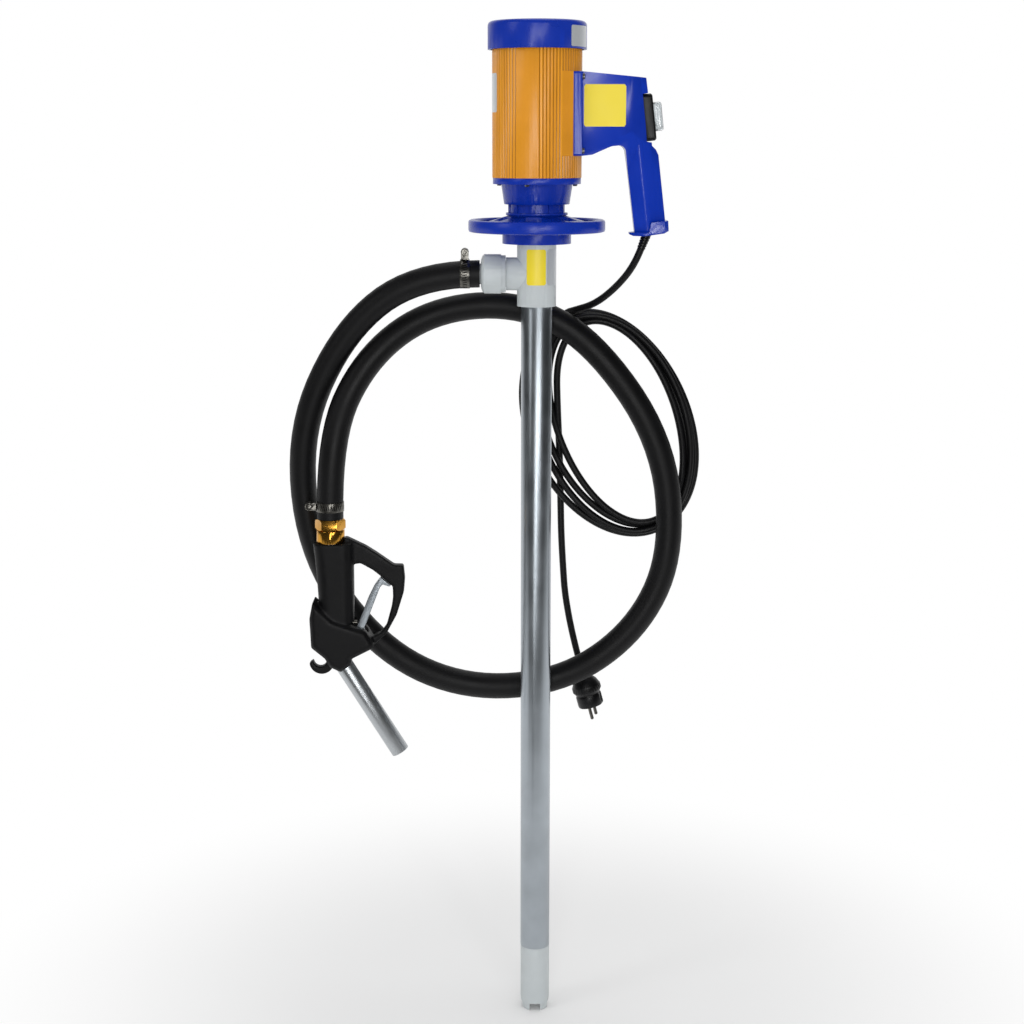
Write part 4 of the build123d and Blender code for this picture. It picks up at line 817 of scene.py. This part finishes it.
class DRUMPUMP_OT_nozzle(bpy.types.Operator):
    """Soften the nozzle's cover and finish its metal pieces"""
    bl_idname = "drum_pump.nozzle"
    bl_label = "Nozzle"

    def execute(self, context):
        sizes = context.scene.drum_pump_sizes
        cover = merged("nozzle_cover", "NozzleCover")
        grid = cover.modifiers.new("Grid", "REMESH")
        grid.mode = "VOXEL"
        grid.voxel_size = sizes.cover_voxel
        soften = cover.modifiers.new("Soften", "SMOOTH")
        soften.factor = 0.5
        soften.iterations = 24
        cover = plain(cover)
        smooth(cover, 180)
        finish(cover, "cover", "nozzle", nodes=("nozzle_cover",))
        for node in ("nozzle_hose_tail", "nozzle_swivel"):
            eased(node, sizes.metal_edge, "brass")
        eased("nozzle_lever", sizes.metal_edge * 2, "cast", steps=3)
        eased("nozzle_spout", sizes.metal_edge, "spout")
        keep("lever_pin", "steel")
        spring = merged("valve_spring", "ValveSpring")
        smooth(spring)
        finish(spring, "steel", "nozzle", nodes=("valve_spring",))
        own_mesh(spring)
        keep("nozzle_valve_body", "cast")
        keep("valve_stem", "steel")
        return {"FINISHED"}


class DRUMPUMP_OT_plug(bpy.types.Operator):
    """Finish the mains plug and its pins"""
    bl_idname = "drum_pump.plug"
    bl_label = "Mains plug"

    def execute(self, context):
        sizes = context.scene.drum_pump_sizes
        eased("plug_body", sizes.wet_end_edge, "black")
        keep("plug_pins", "steel")
        grip_radius, grip_height, lean = 0.0199, 0.0265, radians(15)
        ribs = copies("PlugRibs", sizes.plug_rib_count, grip_radius, first=0.0,
                      step=2 * pi / sizes.plug_rib_count, slant=0.0,
                      block=(0.0016, 0.0016, 0.0068), material="black")
        middle = Vector((0.0815, 0.098, -0.582))
        axis = Vector((-sin(lean), 0, cos(lean)))
        ribs.data.transform(Matrix.Translation(middle + axis * grip_height)
                            @ axis.to_track_quat("Z", "Y").to_matrix().to_4x4())
        finish(ribs, "black", "pump_unit")
        return {"FINISHED"}


class DRUMPUMP_OT_labels(bpy.types.Operator):
    """Lay the blank film labels on the casing, box and body"""
    bl_idname = "drum_pump.labels"
    bl_label = "Blank labels"

    def execute(self, context):
        sizes = context.scene.drum_pump_sizes

        # The box's front face starts here and leans back towards the switch.
        start_x, start_y, lean = 0.0521, -0.031, 3.0 / 72.5
        middle_x, middle_z = 0.0866, 0.2585

        def on_box(u, v):
            x = middle_x + u
            out = Vector((lean, -1, 0)).normalized()
            return Vector((x, start_y + (x - start_x) * lean, middle_z + v)), out

        film("BoxLabel", 0.0538, 0.053, on_box, sizes, "label", "pump_unit")
        # Name, width, height, radius of what it lies on, turn from the front, middle's height.
        for name, wide, high, radius, turn, middle, material, slot in (
                ("BodyLabel", 0.0262, 0.0466, 0.0258, -0.035, 0.052, "label", "yellow_paint"),
                ("BodyPanel", 0.028, 0.0466, 0.0258, 1.09, 0.052, "plate", "grey_plastic"),
                ("CapLabel", 0.040, 0.026, 0.0639, 1.04, 0.3443, "plate", "grey_plastic"),
                ("BarrelLabel", 0.030, 0.049, 0.0582, -1.36, 0.2745, "plate", "grey_plastic")):
            film(name, wide, high, on_drum(radius, turn, middle), sizes, material, "pump_unit")
        return {"FINISHED"}


class DRUMPUMP_OT_inside(bpy.types.Operator):
    """Finish the pieces inside the motor, handle and pump"""
    bl_idname = "drum_pump.inside"
    bl_label = "Inner pieces"

    def execute(self, context):
        inner = {"iron": ("field_core", "armature_core"),
                 "copper": ("field_windings", "armature_winding", "commutator"),
                 "carbon": ("carbon_brushes",),
                 "brass": ("brush_holders",),
                 "steel": ("bearing_outer_rings", "bearing_inner_rings", "armature_shaft",
                           "pump_shaft"),
                 "cast": ("upper_bracket",),
                 "black": ("cooling_fan", "motor_coupling", "pump_coupling", "shaft_bushes",
                           "suppression_capacitor"),
                 "natural": ("impeller", "inner_tube"),
                 "grey": ("terminal_block",),
                 "seal": ("shaft_seal", "outlet_gasket")}
        for material, nodes in inner.items():
            for node in nodes:
                keep(node, material)
        return {"FINISHED"}


def background_rays(tree, facing):
    """How far a ray should see the white background: facing is the share that gloss sees."""
    rays = add(tree, "ShaderNodeLightPath").outputs
    gloss = add(tree, "ShaderNodeMath", {0: rays["Is Glossy Ray"], 1: facing}, operation="MULTIPLY")
    clear = add(tree, "ShaderNodeMath", {0: rays["Is Camera Ray"], 1: rays["Is Transmission Ray"]},
                operation="MAXIMUM")
    return add(tree, "ShaderNodeMath", {0: clear.outputs[0], 1: gloss.outputs[0]},
               operation="MAXIMUM").outputs[0]


def behind(tree, coordinate, near, far):
    """A share that is nothing towards the lamps in front and 1 beyond the object."""
    parts = add(tree, "ShaderNodeSeparateXYZ", {"Vector": coordinate})
    return add(tree, "ShaderNodeMapRange", {"Value": parts.outputs["Y"], "From Min": near,
               "From Max": far, "To Min": 0.0, "To Max": 1.0},
               interpolation_type="SMOOTHSTEP").outputs[0]


class DRUMPUMP_OT_stage(bpy.types.Operator):
    """Set up the pale floor, the white background and the soft lamps"""
    bl_idname = "drum_pump.stage"
    bl_label = "Stage"

    def execute(self, context):
        scene = context.scene
        form = bmesh.new()
        bmesh.ops.create_grid(form, x_segments=1, y_segments=1, size=12.0)
        mesh = bpy.data.meshes.new("Floor")
        form.to_mesh(mesh)
        form.free()
        floor = put("Floor", mesh)
        floor.data.transform(Matrix.Translation((0, 0, cad_bounds[0].z - 0.0005)))
        made, tree, shader = start_material("Paper sweep, white")
        shader.inputs["Base Color"].default_value = (0.9, 0.9, 0.9, 1.0)
        shader.inputs["Roughness"].default_value = 0.9
        shader.inputs["Specular IOR Level"].default_value = 0.1
        glow = add(tree, "ShaderNodeEmission", {"Color": (1, 1, 1, 1), "Strength": 1.0})
        dim = add(tree, "ShaderNodeEmission", {"Color": (1, 1, 1, 1), "Strength": FLOOR_GLOSS})
        place = add(tree, "ShaderNodeTexCoord").outputs["Object"]
        flat = add(tree, "ShaderNodeVectorMath", {0: place, 1: (1, 1, 0)}, operation="MULTIPLY")
        away = add(tree, "ShaderNodeVectorMath", {0: flat.outputs[0]}, operation="LENGTH")
        fade = add(tree, "ShaderNodeMapRange", {"Value": away.outputs["Value"], "From Min": 0.25,
                   "From Max": 0.9, "To Min": 0.0, "To Max": 1.0}, interpolation_type="SMOOTHSTEP")
        facing = behind(tree, place, -1.2, -0.2)
        seen = background_rays(tree, facing)
        share = add(tree, "ShaderNodeMath", {0: fade.outputs[0], 1: seen}, operation="MULTIPLY")
        lit = add(tree, "ShaderNodeMixShader", {0: share.outputs[0], 1: shader.outputs[0],
                  2: glow.outputs[0]})
        rays = add(tree, "ShaderNodeLightPath").outputs
        front = add(tree, "ShaderNodeMath", {0: 1.0, 1: facing}, operation="SUBTRACT")
        front = add(tree, "ShaderNodeMath", {0: front.outputs[0], 1: rays["Is Glossy Ray"]},
                    operation="MULTIPLY")
        both = add(tree, "ShaderNodeMixShader", {0: front.outputs[0], 1: lit.outputs[0],
                   2: dim.outputs[0]})
        tree.links.new(both.outputs[0], tree.nodes["Material Output"].inputs["Surface"])
        mesh.materials.append(made)

        world = bpy.data.worlds.new("Studio")
        scene.world = world
        world.use_nodes = True
        sky = world.node_tree
        sky.nodes.clear()
        way = add(sky, "ShaderNodeTexCoord").outputs["Generated"]
        seen = background_rays(sky, behind(sky, way, 0.3, 0.9))
        rays = add(sky, "ShaderNodeLightPath").outputs
        soft = add(sky, "ShaderNodeMapRange", {"Value": rays["Is Glossy Ray"], "To Min": SKY_LIGHT,
                   "To Max": SKY_GLOSS})
        strength = add(sky, "ShaderNodeMix", {"Factor": seen, "A": soft.outputs[0], "B": 1.0},
                       data_type="FLOAT")
        back = add(sky, "ShaderNodeBackground", {"Color": (1, 1, 1, 1),
                   "Strength": strength.outputs[0]})
        add(sky, "ShaderNodeOutputWorld", {"Surface": back.outputs[0]})

        for name, spot, size, power in LAMPS:
            lamp = bpy.data.lights.new(name, "AREA")
            lamp.shape = "RECTANGLE"
            lamp.size, lamp.size_y = size
            lamp.energy = power
            light = put(name, lamp)
            light.location = spot
            aim = Vector((0, 0, 0.0)) - Vector(spot)
            light.rotation_euler = aim.to_track_quat("-Z", "Y").to_euler()
        scene.view_settings.view_transform = "Standard"
        return {"FINISHED"}


class DRUMPUMP_PT_panel(bpy.types.Panel):
    """The drum pump's steps, sizes and colours"""
    bl_idname = "DRUMPUMP_PT_panel"
    bl_label = "Drum pump"
    bl_space_type = "VIEW_3D"
    bl_region_type = "UI"
    bl_category = "Drum pump"

    def draw(self, context):
        column = self.layout.column(align=True)
        for step in STEPS:
            column.operator(step.bl_idname)
        for group in (context.scene.drum_pump_sizes, context.scene.drum_pump_colours):
            box = self.layout.box()
            for name in group.bl_rna.properties.keys():
                if name not in ("rna_type", "name"):
                    box.prop(group, name)


STEPS = (DRUMPUMP_OT_camera, DRUMPUMP_OT_hose, DRUMPUMP_OT_plug, DRUMPUMP_OT_mains_lead,
         DRUMPUMP_OT_strain_relief, DRUMPUMP_OT_motor, DRUMPUMP_OT_handle, DRUMPUMP_OT_switch,
         DRUMPUMP_OT_pump, DRUMPUMP_OT_clamps, DRUMPUMP_OT_nozzle, DRUMPUMP_OT_labels,
         DRUMPUMP_OT_inside, DRUMPUMP_OT_stage)
CLASSES = (DrumPumpSizes, DrumPumpColours, *STEPS, DRUMPUMP_PT_panel)


def register():
    """Add the classes and the scene's settings."""
    for item in CLASSES:
        bpy.utils.register_class(item)
    bpy.types.Scene.drum_pump_sizes = bpy.props.PointerProperty(type=DrumPumpSizes)
    bpy.types.Scene.drum_pump_colours = bpy.props.PointerProperty(type=DrumPumpColours)


def unregister():
    """Take them away again."""
    del bpy.types.Scene.drum_pump_colours
    del bpy.types.Scene.drum_pump_sizes
    for item in reversed(CLASSES):
        bpy.utils.unregister_class(item)


def main():
    """Build the whole scene, step by step."""
    register()
    bpy.ops.drum_pump.camera()
    bpy.ops.drum_pump.hose()
    bpy.ops.drum_pump.plug()
    bpy.ops.drum_pump.mains_lead()
    bpy.ops.drum_pump.strain_relief()
    bpy.ops.drum_pump.motor()
    bpy.ops.drum_pump.handle()
    bpy.ops.drum_pump.switch()
    bpy.ops.drum_pump.pump()
    bpy.ops.drum_pump.clamps()
    bpy.ops.drum_pump.nozzle()
    bpy.ops.drum_pump.labels()
    bpy.ops.drum_pump.inside()
    bpy.ops.drum_pump.stage()


if __name__ == "__main__":
    main()
